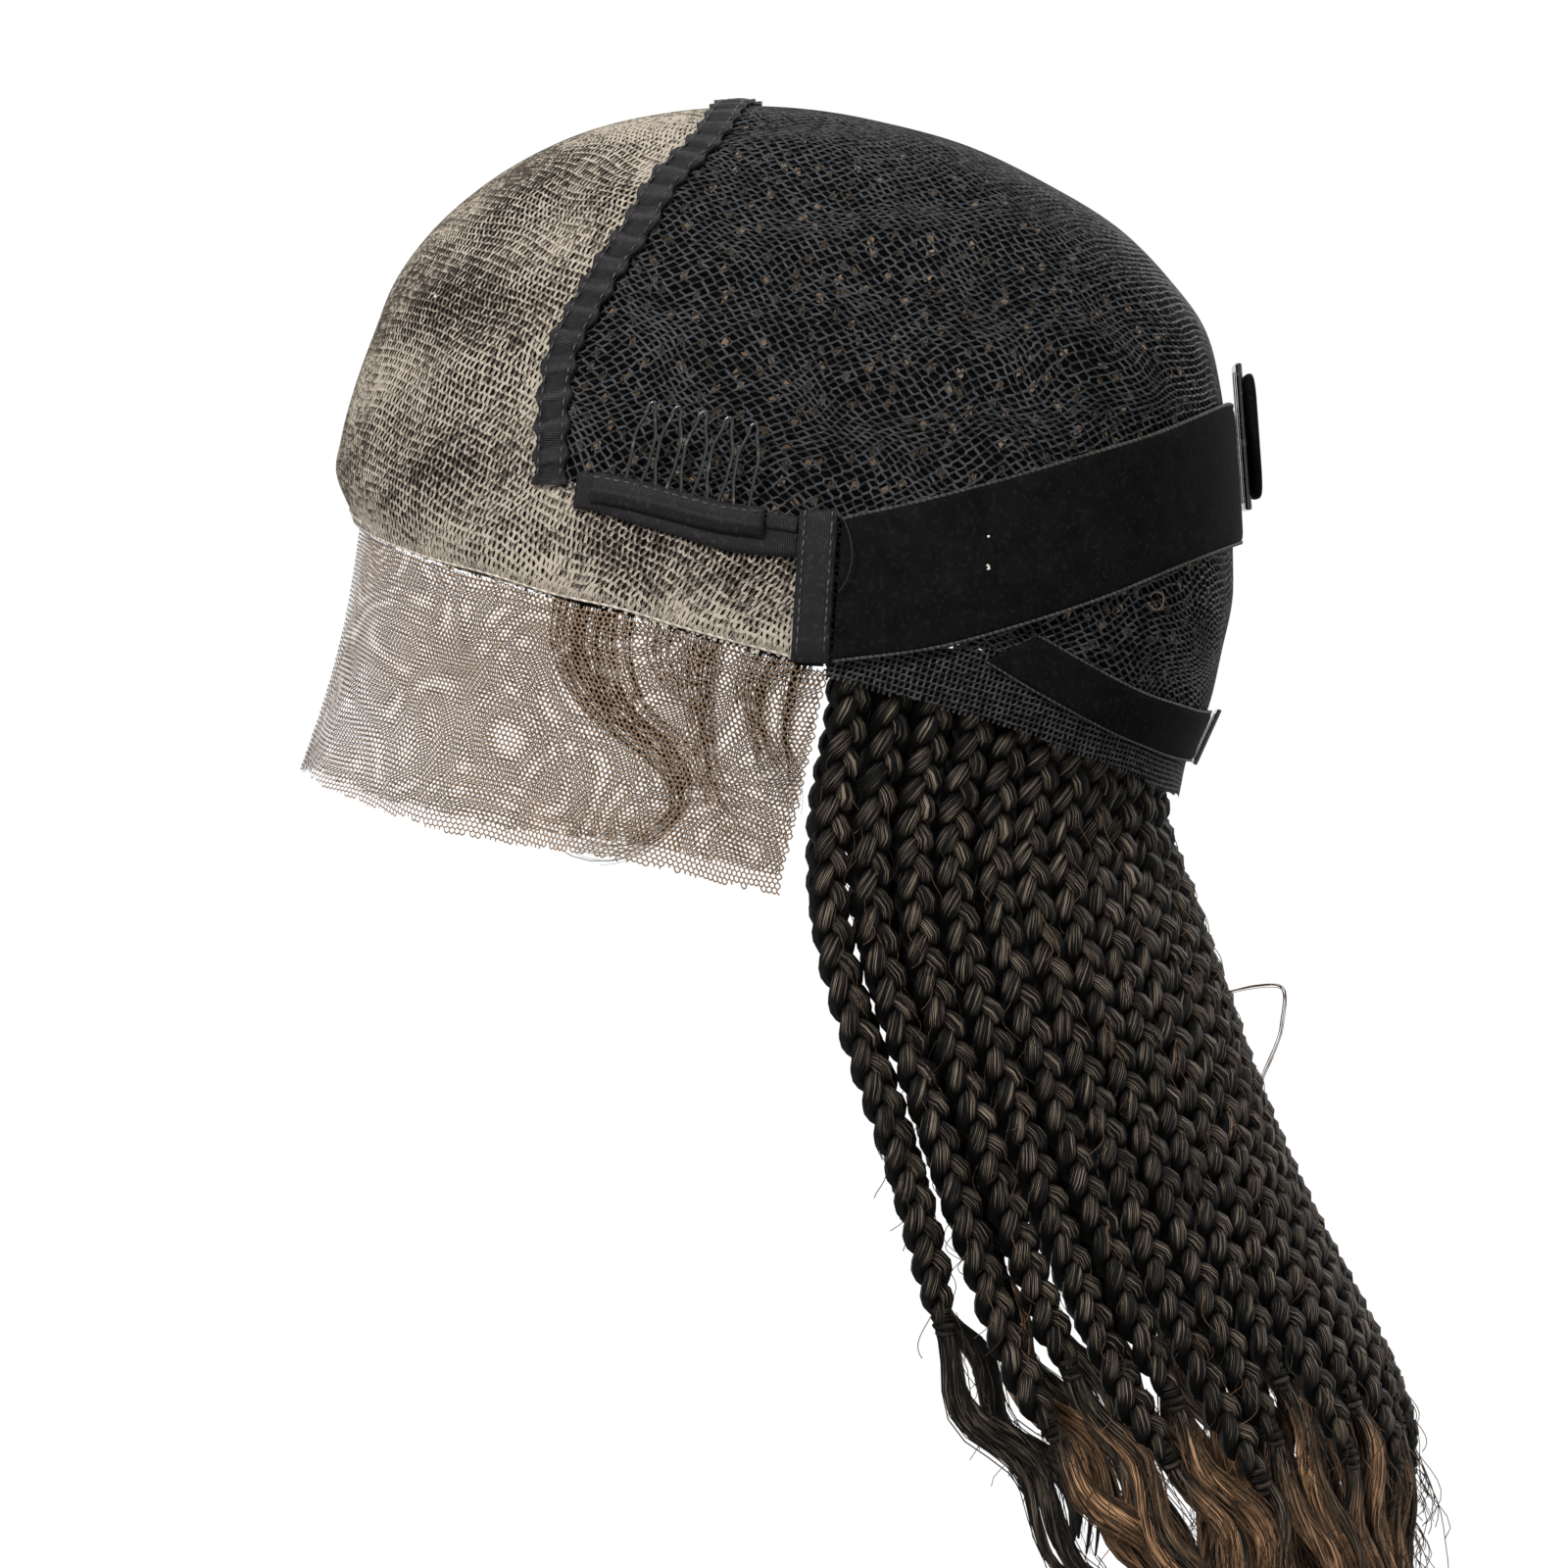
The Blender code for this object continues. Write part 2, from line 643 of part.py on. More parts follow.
def build_combs(wig):
    """Each side's comb, one wire bent into hairpin teeth."""
    feet = spread(side_line(COMB_FEET, False), 2)
    foot_run = (feet[1] - feet[0]) / np.linalg.norm(feet[1] - feet[0])
    lean = math.radians(COMB_LEAN)
    upward = np.array((0.0, math.sin(lean), math.cos(lean)))
    start_lift = GAP + TAPE_THICK + GAP + COMB_WIRE / 2
    # One half of a tooth. Columns: across as a share of the leg spread, up as a share of the reach
    half_tooth = ((1.0, 0.0), (0.95, 0.70), (0.45, 0.84), (0.38, 0.95), (0.0, 1.0))
    for side, turn in (("left", np.array((1, 1, 1))), ("right", np.array((-1, 1, 1)))):
        path = []
        for tooth in range(COMB_TEETH):
            middle = feet.mean(axis=0) + foot_run * COMB_PITCH * (tooth - (COMB_TEETH - 1) / 2)
            turned = [(-across, up) for across, up in half_tooth] + list(half_tooth[-2::-1])
            for across, up in turned:
                point = middle + foot_run * COMB_LEG_SPREAD * across + upward * COMB_REACH * up
                lift = start_lift + (COMB_TIP_LIFT - start_lift) * max(up, 0.0) ** 0.8
                path.append(seat(point[None, :], np.array([lift]))[0] * turn)
        wire = bpy.data.curves.new("comb_" + side, "CURVE")
        wire.dimensions = "3D"
        wire.bevel_depth = COMB_WIRE / 2
        wire.bevel_resolution = 0
        wire.use_fill_caps = True
        line = wire.splines.new("POLY")
        line.points.add(len(path) - 1)
        for point, place in zip(line.points, path):
            point.co = (*place, 1.0)
        wire.materials.append(material("black_metal"))
        wig.objects.link(bpy.data.objects.new("comb_" + side, wire))


def middle_axes(direction):
    """Position on the middle outline and the axes there: across, up and outward."""
    turn = math.radians(direction)
    ray = np.array((0.0, math.cos(turn), math.sin(turn)))
    place = seat((EAR + ray * CAP_RISE)[None, :])[0]
    normal = outward(place[None, :])[0]
    across = np.array((1.0, 0.0, 0.0))
    return place, (across, np.cross(normal, across), normal)


def build_slider(name, direction, lift, size, bar, wig, cutters):
    """A slider: a frame with a bar down its middle. The size is its width, height and thickness."""
    width, height, thick = size
    place, axes = middle_axes(direction)
    centre = place + axes[2] * (lift + thick / 2)
    frame = add_box(name, centre, axes, size, "black_metal", wig, bevel=thick * 0.3)
    slot_width = (width - 3 * bar) / 2
    for side in (-1, 1):
        middle = centre + axes[0] * side * (slot_width + bar) / 2
        slot_size = (slot_width, height - 2 * bar, thick * 3)
        slot = add_box(f"{name}_slot_{side}", middle, axes, slot_size, "black_metal", cutters)
        cut(frame, slot)


def build_rear(wig, cutters):
    """The two sliders and the wide band's folded end."""
    slider_lift = BAND_REAR_LIFT + GAP + SLIDER_CLEAR
    size = (SLIDER_WIDTH, SLIDER_HEIGHT, SLIDER_THICK)
    build_slider("band_slider", SLIDER_DIRECTION, slider_lift, size, SLIDER_BAR, wig, cutters)
    place, axes = middle_axes(SLIDER_DIRECTION)
    lift = slider_lift + SLIDER_THICK + GAP + FOLD_THICK / 2
    size = (FOLD_WIDTH, FOLD_HEIGHT, FOLD_THICK)
    add_box("band_folded_end", place + axes[2] * lift, axes, size, "black_elastic", wig, bevel=FOLD_THICK * 0.4)
    strap_lift = STRAP_GAP + STRAP_THICK + GAP + SMALL_SLIDER_CLEAR
    size = (SMALL_SLIDER_WIDTH, SMALL_SLIDER_HEIGHT, SMALL_SLIDER_THICK)
    build_slider(
        "nape_strap_slider", SMALL_SLIDER_DIRECTION, strap_lift, size, SMALL_SLIDER_BAR, wig, cutters
    )


def build_lace(wig):
    """The sheer flap that hangs from the hairline."""
    top = both_sides(spread(side_line(LACE_TOP), LACE_COLUMNS))
    along, up = np.asarray(LACE_BOTTOM, float).T
    forward = np.clip((along - along[-1]) / (along[0] - along[-1]), 0.0, 1.0)
    x = LACE_WIDTH_SHARE * CAP_HALF_WIDTH * (1.0 - forward**LACE_POINTEDNESS) ** (1.0 / LACE_POINTEDNESS)
    half = np.stack([x, along * CAP_DEPTH, up * CAP_RISE], axis=1) + EAR
    bottom = both_sides(spread(half, LACE_COLUMNS))
    around = np.linspace(-1.0, 1.0, 2 * LACE_COLUMNS - 1)
    outer = []
    inner = []
    for t in np.linspace(0.0, 1.0, LACE_ROWS):
        row = top * (1 - t) + bottom * t
        sideways = np.gradient(row, axis=0) * (1, 1, 0)
        inward = np.cross(sideways, (0.0, 0.0, 1.0))
        inward /= np.linalg.norm(inward, axis=1, keepdims=True)
        sink = LACE_HOLLOW * math.sin(math.pi * t) + LACE_FOLD * t * np.cos(around * LACE_FOLDS * math.pi)
        outer.append(row + inward * sink[:, None])
        inner.append(row + inward * (sink + LACE_THICK)[:, None])
    add_sheet("lace_flap", np.stack(outer), np.stack(inner), "sheer_lace", wig)


def hang(shares, inset, depths):
    """Places in the hanging curtain, evenly spread from 0 at its front end to 1 at the middle of the back."""
    table = np.asarray(LEVELS, float)
    turns = np.linspace(0.0, math.pi / 2, 60)
    places = []
    for share, depth in zip(shares, depths):
        front, back, half = (eased(table[:, 0], table[:, k], depth) for k in (1, 2, 3))
        wide = half * CAP_HALF_WIDTH - inset
        deep = (back - front) * CAP_DEPTH - 2 * inset
        ring = np.stack([wide * np.cos(turns), deep * np.sin(turns)], axis=1)
        runs = np.concatenate([[0.0], np.cumsum(np.linalg.norm(np.diff(ring, axis=0), axis=1))])
        x, y = (np.interp(share * runs[-1], runs, axis) for axis in ring.T)
        places.append((x, y + EAR_BACK + front * CAP_DEPTH + inset, EAR[2] - depth * HANG_LENGTH))
    return np.array(places)


def braid_path(share, drift, inset, end):
    """The line that a braid follows, evenly spaced."""
    edge = side_line(NAPE_EDGE)[::-1]
    start = spread(edge, 201)[int(round(share * 200))][None, :]
    kept = LAYER_TOP_SHARE - FRONT_EASE * (1.0 - share) ** FRONT_EASE_POWER
    under = WALL + (UNDER_FRONT + UNDER_MORE * share) * GAP + BRAID_HALF_THICK + inset * kept
    at_edge = seat(start, -under - EDGE_TUCK)[0]
    begin = seat(start + (0.0, 0.0, BRAID_START), -under)[0]
    depths = np.arange(HANG_FIRST, end + HANG_STEP / 3, HANG_STEP)
    depths = depths[EAR[2] - depths * HANG_LENGTH < at_edge[2] - HANG_CLEAR]
    fallen = np.clip((depths - DRIFT_FROM) / (DRIFT_TO - DRIFT_FROM), 0.0, 1.0)
    places = share + drift * fallen**2 * (3 - 2 * fallen)
    points = np.concatenate([[begin, at_edge], hang(places, inset, depths)])
    return spread(points, 400)


def build_braid(name, share, drift, inset, knot, end, lobe, sides, mirror, wig):
    """One braid: its plaited length, the knot and the loose lock below."""
    line = braid_path(share, drift, inset, end)
    depths = (EAR[2] - line[:, 2]) / HANG_LENGTH
    at_knot = int(np.argmin(np.abs(depths - knot)))
    at_end = int(np.argmin(np.abs(depths - end)))
    lengths = np.concatenate([[0.0], np.cumsum(np.linalg.norm(np.diff(line, axis=0), axis=1))])
    crossings = int(round(lengths[at_knot] / lobe))
    plaited = np.linspace(0.0, lengths[at_knot] - KNOT_LENGTH / 2, crossings)
    loose = np.linspace(lengths[at_knot] + KNOT_LENGTH / 2, lengths[at_end], LOOSE_POINTS)
    places = np.concatenate([plaited, [lengths[at_knot]], loose])
    path = np.stack([np.interp(places, lengths, axis) for axis in line.T], axis=1)
    tangent = np.gradient(path, axis=0)
    around = np.cross(tangent, path * (1, 1, 0) - (0.0, EAR_BACK, 0.0))
    around /= np.linalg.norm(around, axis=1, keepdims=True)
    step = np.zeros(len(places))
    step[1:crossings] = BRAID_SWAY * (-1.0) ** np.arange(1, crossings)
    down = np.linspace(0.0, 1.0, len(loose))
    step[crossings + 1 :] = LOCK_WAVE * np.sin(down * math.tau * 1.2) * down
    path = path + around * step[:, None]
    widths = np.full(len(places), BRAID_HALF_WIDTH)
    widths[0] = BRAID_HALF_WIDTH * 0.8
    widths[crossings] = KNOT_HALF_WIDTH
    widths[crossings + 1 :] = LOCK_HALF_WIDTH + (LOCK_END_HALF_WIDTH - LOCK_HALF_WIDTH) * down
    thicknesses = widths * BRAID_HALF_THICK / BRAID_HALF_WIDTH
    add_tube(name, path, widths, thicknesses, sides, "dark_braid", wig, mirror)


def build_hair(wig):
    """The outer braids, and the inner layer that fills behind them."""
    layers = (
        ("braid", BRAIDS, 0.0, BRAID_LOBE, BRAID_SIDES),
        ("inner_braid", INNER_BRAIDS, LAYER_STEP, INNER_LOBE, BRAID_SIDES - 1),
    )
    for layer, table, inset, lobe, sides in layers:
        for side, mirror in (("left", 1), ("right", -1)):
            for i, (knot, end, drift) in enumerate(table):
                share = (i + 0.5) / len(table)
                name = f"{layer}_{side}_{i + 1:02d}"
                drifted = drift / len(table)
                build_braid(name, share, drifted, inset, knot, end, lobe, sides, mirror, wig)


def new_collection(name, hidden=False):
    """A collection of the scene."""
    made = bpy.data.collections.new(name)
    made.hide_render = hidden
    bpy.context.scene.collection.children.link(made)
    return made


def main():
    """Builds the wig."""
    for old in list(bpy.data.objects):
        bpy.data.objects.remove(old)
    wig = new_collection("braid_wig")
    cutters = new_collection("cutters", hidden=True)
    build_panels(wig)
    build_trims(wig)
    build_combs(wig)
    build_rear(wig, cutters)
    build_lace(wig)
    build_hair(wig)
    for helper in cutters.objects:
        helper.hide_render = True
        helper.display_type = "WIRE"


main()
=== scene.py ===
"""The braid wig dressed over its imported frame: knitted lace front, nets, satin trims, elastic bands and hair.

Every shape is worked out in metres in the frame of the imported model: +Z up, the front toward -Y, the left
side toward +X, and the origin inside the crown on the middle plane.
"""

from __future__ import annotations

import logging
import math
from dataclasses import dataclass, field
from enum import Enum
from typing import Any, Sequence, Union

import bpy
import numpy as np
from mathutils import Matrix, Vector


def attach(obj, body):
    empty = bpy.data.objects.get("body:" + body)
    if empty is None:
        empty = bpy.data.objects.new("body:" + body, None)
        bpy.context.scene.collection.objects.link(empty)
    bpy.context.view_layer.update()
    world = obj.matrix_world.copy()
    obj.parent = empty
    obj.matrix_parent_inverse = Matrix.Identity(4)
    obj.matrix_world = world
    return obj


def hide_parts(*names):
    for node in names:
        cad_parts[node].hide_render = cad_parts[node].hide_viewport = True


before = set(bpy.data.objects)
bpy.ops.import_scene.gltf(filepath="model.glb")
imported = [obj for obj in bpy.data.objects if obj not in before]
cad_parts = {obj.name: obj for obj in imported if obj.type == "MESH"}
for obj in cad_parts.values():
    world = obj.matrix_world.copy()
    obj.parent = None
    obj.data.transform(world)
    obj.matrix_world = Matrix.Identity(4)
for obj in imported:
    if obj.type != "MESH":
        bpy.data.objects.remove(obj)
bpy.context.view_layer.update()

LOG = logging.getLogger("braid_wig")
MM = 0.001
Array = np.ndarray
Table = tuple[tuple[float, ...], ...]


class Side(Enum):
    """The two halves of the wig, by the sign of X."""

    LEFT = 1
    RIGHT = -1

    @property
    def word(self) -> str:
        """The side's name in node names."""
        return self.name.lower()

    @property
    def turn(self) -> Array:
        """Factors that bring a left-hand shape to this side."""
        return np.array((self.value, 1.0, 1.0))


def eased(xs: Sequence[float], ys: Sequence[float], x: Any) -> Array:
    """Reads a table as a smooth curve: cubic pieces whose slopes are the table's own central slopes.

    Args:
        xs: Rising places of the table.
        ys: Values there.
        x: Places wanted.

    Returns:
        The values at x, held level outside the table.
    """
    xs = np.asarray(xs, float)
    ys = np.asarray(ys, float)
    slopes = np.gradient(ys, xs)
    i = np.clip(np.searchsorted(xs, x) - 1, 0, len(xs) - 2)
    step = xs[i + 1] - xs[i]
    t = np.clip((x - xs[i]) / step, 0.0, 1.0)
    start = (1 + 2 * t) * (1 - t) ** 2 * ys[i] + t * (1 - t) ** 2 * step * slopes[i]
    end = t**2 * (3 - 2 * t) * ys[i + 1] - t**2 * (1 - t) * step * slopes[i + 1]
    return start + end


def runs_along(points: Array) -> Array:
    """Distance of each point of a line from its first, as the running sum of its steps."""
    return np.concatenate([[0.0], np.cumsum(np.linalg.norm(np.diff(points, axis=0), axis=1))])


def read_along(points: Array, runs: Array, wanted: Any) -> Array:
    """Places on a line at the wanted running lengths, from those of its points."""
    return np.stack([np.interp(wanted, runs, axis) for axis in points.T], axis=-1)


def spread(points: Array, count: int) -> Array:
    """Places points evenly by length along the smooth curve through the given ones.

    Args:
        points: The curve's own points.
        count: How many are wanted.

    Returns:
        The new points, ends included.
    """
    points = np.asarray(points, float)
    runs = runs_along(points)
    fine = np.linspace(0.0, runs[-1], 400)
    dense = np.stack([eased(runs, axis, fine) for axis in points.T], axis=1)
    lengths = runs_along(dense)
    return read_along(dense, lengths, np.linspace(0.0, lengths[-1], count))


def unit(vectors: Array) -> Array:
    """Vectors divided by their own lengths."""
    return vectors / np.maximum(np.linalg.norm(vectors, axis=-1, keepdims=True), 1e-12)


def powered(values: Array, power: float) -> Array:
    """Values to a power, each with its own sign."""
    return np.sign(values) * np.abs(values) ** power


def smooth_step(t: Any) -> Array:
    """Eases 0 to 1 with level ends: 3t^2 - 2t^3."""
    t = np.clip(t, 0.0, 1.0)
    return t * t * (3 - 2 * t)


def inside(polygon: Array, y: Array, z: Array) -> Array:
    """Tells which places lie in a polygon, by how often a level ray crosses its sides.

    Args:
        polygon: Corners as rows of y and z.
        y: First coordinate of the places.
        z: Second coordinate of the places.

    Returns:
        True inside.
    """
    within = np.zeros(np.shape(y), bool)
    for (y0, z0), (y1, z1) in zip(polygon, np.roll(polygon, -1, axis=0)):
        if z0 == z1:
            continue
        crosses = ((z0 > z) != (z1 > z)) & (y < (y1 - y0) * (z - z0) / (z1 - z0) + y0)
        within ^= crosses
    return within


def ripple(places: Array, seed: int, scale: float, waves: int = 7) -> Array:
    """A smooth random height at each place, a sum of sine waves in random directions.

    Args:
        places: Rows of coordinates in metres.
        seed: Fixes the waves.
        scale: Typical wavelength in metres.
        waves: How many are summed.

    Returns:
        Heights between about -1 and 1.
    """
    rng = np.random.default_rng(seed)
    axes = unit(rng.normal(size=(waves, places.shape[-1])))
    rates = math.tau / (scale * rng.uniform(0.7, 1.6, waves))
    phases = rng.uniform(0.0, math.tau, waves)
    return np.sin(places @ (axes * rates[:, None]).T + phases).sum(axis=-1) / math.sqrt(waves)


@dataclass
class Mould:
    """Gathers grids of points into one mesh, with a surface map and a tone at each point."""

    points: list[Array] = field(default_factory=list)
    corners: list[Array] = field(default_factory=list)
    sizes: list[Array] = field(default_factory=list)
    maps: list[Array] = field(default_factory=list)
    tones: list[Array] = field(default_factory=list)
    count: int = 0

    def add(self, points: Array, maps: Array, tone: Any = 0.0, wrap: bool = False, flip: bool = False) -> int:
        """Adds a stack of grids, each point joined to its neighbours by four-sided faces.

        Args:
            points: Parts, rows, columns and coordinates.
            maps: The same with map coordinates, one column more where the grid wraps round.
            tone: One number a point, or one for all.
            wrap: Joins the last column to the first.
            flip: Turns the faces over.

        Returns:
            The number of the first point added.
        """
        parts, rows, columns, _ = points.shape
        row, column = (a.ravel() for a in np.mgrid[: rows - 1, : columns - (0 if wrap else 1)])
        after = (column + 1) % columns
        wide = maps.shape[2]
        corner = np.stack([row * columns + column, row * columns + after], axis=-1)
        corner = np.concatenate([corner, corner[:, ::-1] + columns], axis=1)
        place = np.stack([row * wide + column, row * wide + column + 1], axis=-1)
        place = np.concatenate([place, place[:, ::-1] + wide], axis=1)
        if flip:
            corner, place = corner[:, ::-1], place[:, ::-1]
        first = self.count
        starts = first + np.arange(parts)[:, None, None] * rows * columns
        self.points.append(points.reshape(-1, 3))
        self.corners.append((corner[None] + starts).reshape(-1))
        self.sizes.append(np.full(parts * len(corner), 4))
        self.maps.append(maps.reshape(parts, -1, 2)[:, place].reshape(-1, 2))
        self.tones.append(np.broadcast_to(tone, points.shape[:3]).reshape(-1).astype(float))
        self.count += parts * rows * columns
        return first

    def add_faces(self, corners: Array, maps: Array) -> None:
        """Adds faces of one size between points already in the mould.

        Args:
            corners: Faces by corners, as point numbers.
            maps: Map coordinates of each corner.
        """
        self.corners.append(corners.reshape(-1))
        self.sizes.append(np.full(len(corners), corners.shape[1]))
        self.maps.append(np.broadcast_to(maps, (*corners.shape, 2)).reshape(-1, 2))

    def sheet(self, outer: Array, inner: Array, outward: Array, tone: Any = 0.0) -> None:
        """Adds a cloth closed round its edges, between two grids a thickness apart.

        Args:
            outer: Rows, columns and coordinates of the outer face.
            inner: The same of the inner face.
            outward: The outward direction near the grid's middle.
            tone: One number a point, or one for all.
        """
        rows, columns = outer.shape[:2]
        maps = lengths_map(outer)
        middle = (rows // 2, columns // 2)
        normal = np.cross(
            outer[middle[0], middle[1]] - outer[middle[0], middle[1] - 1],
            outer[middle[0], middle[1]] - outer[middle[0] - 1, middle[1]],
        )
        flip = bool(normal @ outward < 0)
        first = self.add(outer[None], maps[None], tone, flip=flip)
        self.add(inner[None], maps[None], tone, flip=not flip)
        under = rows * columns
        rim = np.array(
            [*range(columns), *range(2 * columns - 1, under, columns)]
            + [*range(under - 2, under - columns - 1, -1), *range(under - 2 * columns, 0, -columns)]
        )
        after = np.roll(rim, -1)
        faces = np.stack([after, rim, rim + under, after + under], axis=1)
        if flip:
            faces = faces[:, ::-1]
        self.add_faces(faces + first, maps.reshape(-1, 2)[faces % under])

    def tubes(
        self,
        paths: Array,
        wide: Any,
        thick: Any,
        sides: int,
        out: Any = (0.0, 0.0, 1.0),
        tone: Any = 0.0,
        twist: Any = 0.0,
        shade: float = 0.0,
    ) -> None:
        """Adds closed tubes: at each path point an oval in the plane across the path, with capped ends.

        The oval's point at angle a is wide*cos(a) sideways and thick*sin(a) outward.

        Args:
            paths: Parts, points and coordinates.
            wide: Half width at each point.
            thick: Half thickness at each point.
            sides: Corners of the oval.
            out: Roughly outward directions.
            tone: One number a part or a point.
            twist: Turns of the map round the tube, per metre.
            shade: How far the tone falls from the tube's outer side to its inner side: painted shade on the inner
                side.
        """
        parts, rows = paths.shape[:2]
        tangent = unit(np.gradient(paths, axis=1))
        across = unit(np.cross(tangent, np.broadcast_to(out, paths.shape)))
        outward = np.cross(across, tangent)
        turns = math.tau * np.arange(sides) / sides
        wide = np.broadcast_to(wide, (parts, rows))[..., None, None]
        thick = np.broadcast_to(thick, (parts, rows))[..., None, None]
        ring = across[:, :, None] * wide * np.cos(turns)[:, None]
        ring = ring + outward[:, :, None] * thick * np.sin(turns)[:, None]
        points = paths[:, :, None] + ring
        steps = np.linalg.norm(np.diff(paths, axis=1), axis=-1)
        along = np.concatenate([np.zeros((parts, 1)), np.cumsum(steps, axis=1)], axis=1)
        shift = np.arange(parts)[:, None] * 0.371
        around = np.linspace(0.0, 1.0, sides + 1)
        maps = np.stack(
            [
                np.broadcast_to((along + shift)[..., None], (parts, rows, sides + 1)),
                around + (along * twist)[..., None],
            ],
            axis=-1,
        )
        tone = np.broadcast_to(np.asarray(tone, float).reshape(parts, -1) if np.ndim(tone) else tone, (parts, rows))
        # Painted shade: the tone falls by the shade toward the tube's inner side.
        tone = tone[..., None] - shade * (1 - np.sin(turns)) / 2
        first = self.add(points, maps, tone, wrap=True, flip=True)
        ends = first + np.arange(parts)[:, None] * rows * sides + np.arange(sides)
        self.add_faces(ends, np.zeros(2))
        self.add_faces(ends[:, ::-1] + (rows - 1) * sides, np.zeros(2))

    def threads(self, starts: Array, ends: Array, outward: Array, width: Any, ridge: float, tone: Any = 0.0) -> None:
        """Adds short threads as low roofs: two sloping faces that meet at a ridge over each straight line.

        Args:
            starts: One end of each thread.
            ends: The other end.
            outward: Outward direction at each thread.
            width: Full width, one or one a thread.
            ridge: Height of the ridge, 0 for flat threads.
            tone: One number, or one a thread.
        """
        run = unit(ends - starts)
        sideways = unit(np.cross(outward, run)) * (np.broadcast_to(width, len(starts)) / 2)[:, None]
        steps = (-1.0, 0.0, 1.0) if ridge else (-1.0, 1.0)
        rows = [
            np.stack([line + sideways * step + outward * ridge * (step == 0.0) for step in steps], axis=1)
            for line in (starts, ends)
        ]
        length = np.linalg.norm(ends - starts, axis=1)
        across = np.broadcast_to((np.array(steps) + 1) / 2, (len(starts), 2, len(steps)))
        along = np.stack([np.zeros_like(length), length], axis=1)[..., None] * np.ones(len(steps))
        tone = np.broadcast_to(tone, len(starts))[:, None, None]
        self.add(np.stack(rows, axis=1), np.stack([along, across], axis=-1), tone, flip=True)

    def make(self, name: str) -> bpy.types.Object:
        """Makes the mesh object.

        Args:
            name: The piece's name.

        Returns:
            The object, at the origin.
        """
        points = np.concatenate(self.points)
        corners = np.concatenate(self.corners)
        sizes = np.concatenate(self.sizes)
        mesh = bpy.data.meshes.new(name)
        mesh.vertices.add(len(points))
        mesh.vertices.foreach_set("co", points.astype(np.float32).ravel())
        mesh.loops.add(len(corners))
        mesh.loops.foreach_set("vertex_index", corners.astype(np.int32))
        mesh.polygons.add(len(sizes))
        starts = np.concatenate([[0], np.cumsum(sizes)[:-1]]).astype(np.int32)
        mesh.polygons.foreach_set("loop_start", starts)
        mesh.update(calc_edges=True)
        layer = mesh.uv_layers.new(name="surface")
        layer.uv.foreach_set("vector", np.concatenate(self.maps).astype(np.float32).ravel())
        tone = mesh.attributes.new("tone", "FLOAT", "POINT")
        tone.data.foreach_set("value", np.concatenate(self.tones).astype(np.float32))
        mesh.polygons.foreach_set("use_smooth", np.full(len(sizes), True))
        mesh.validate()
        made = bpy.data.objects.new(name, mesh)
        bpy.context.scene.collection.objects.link(made)
        return made


def lengths_map(grid: Array) -> Array:
    """A map in metres over a grid: mean running length along its columns and along its rows.

    Args:
        grid: Rows, columns and coordinates.

    Returns:
        Rows, columns and the two map coordinates.
    """
    down = np.linalg.norm(np.diff(grid, axis=0), axis=-1).mean(axis=1)
    over = np.linalg.norm(np.diff(grid, axis=1), axis=-1).mean(axis=0)
    v = np.concatenate([[0.0], np.cumsum(down)])
    u = np.concatenate([[0.0], np.cumsum(over)])
    return np.stack(np.broadcast_arrays(u[None, :], v[:, None]), axis=-1)


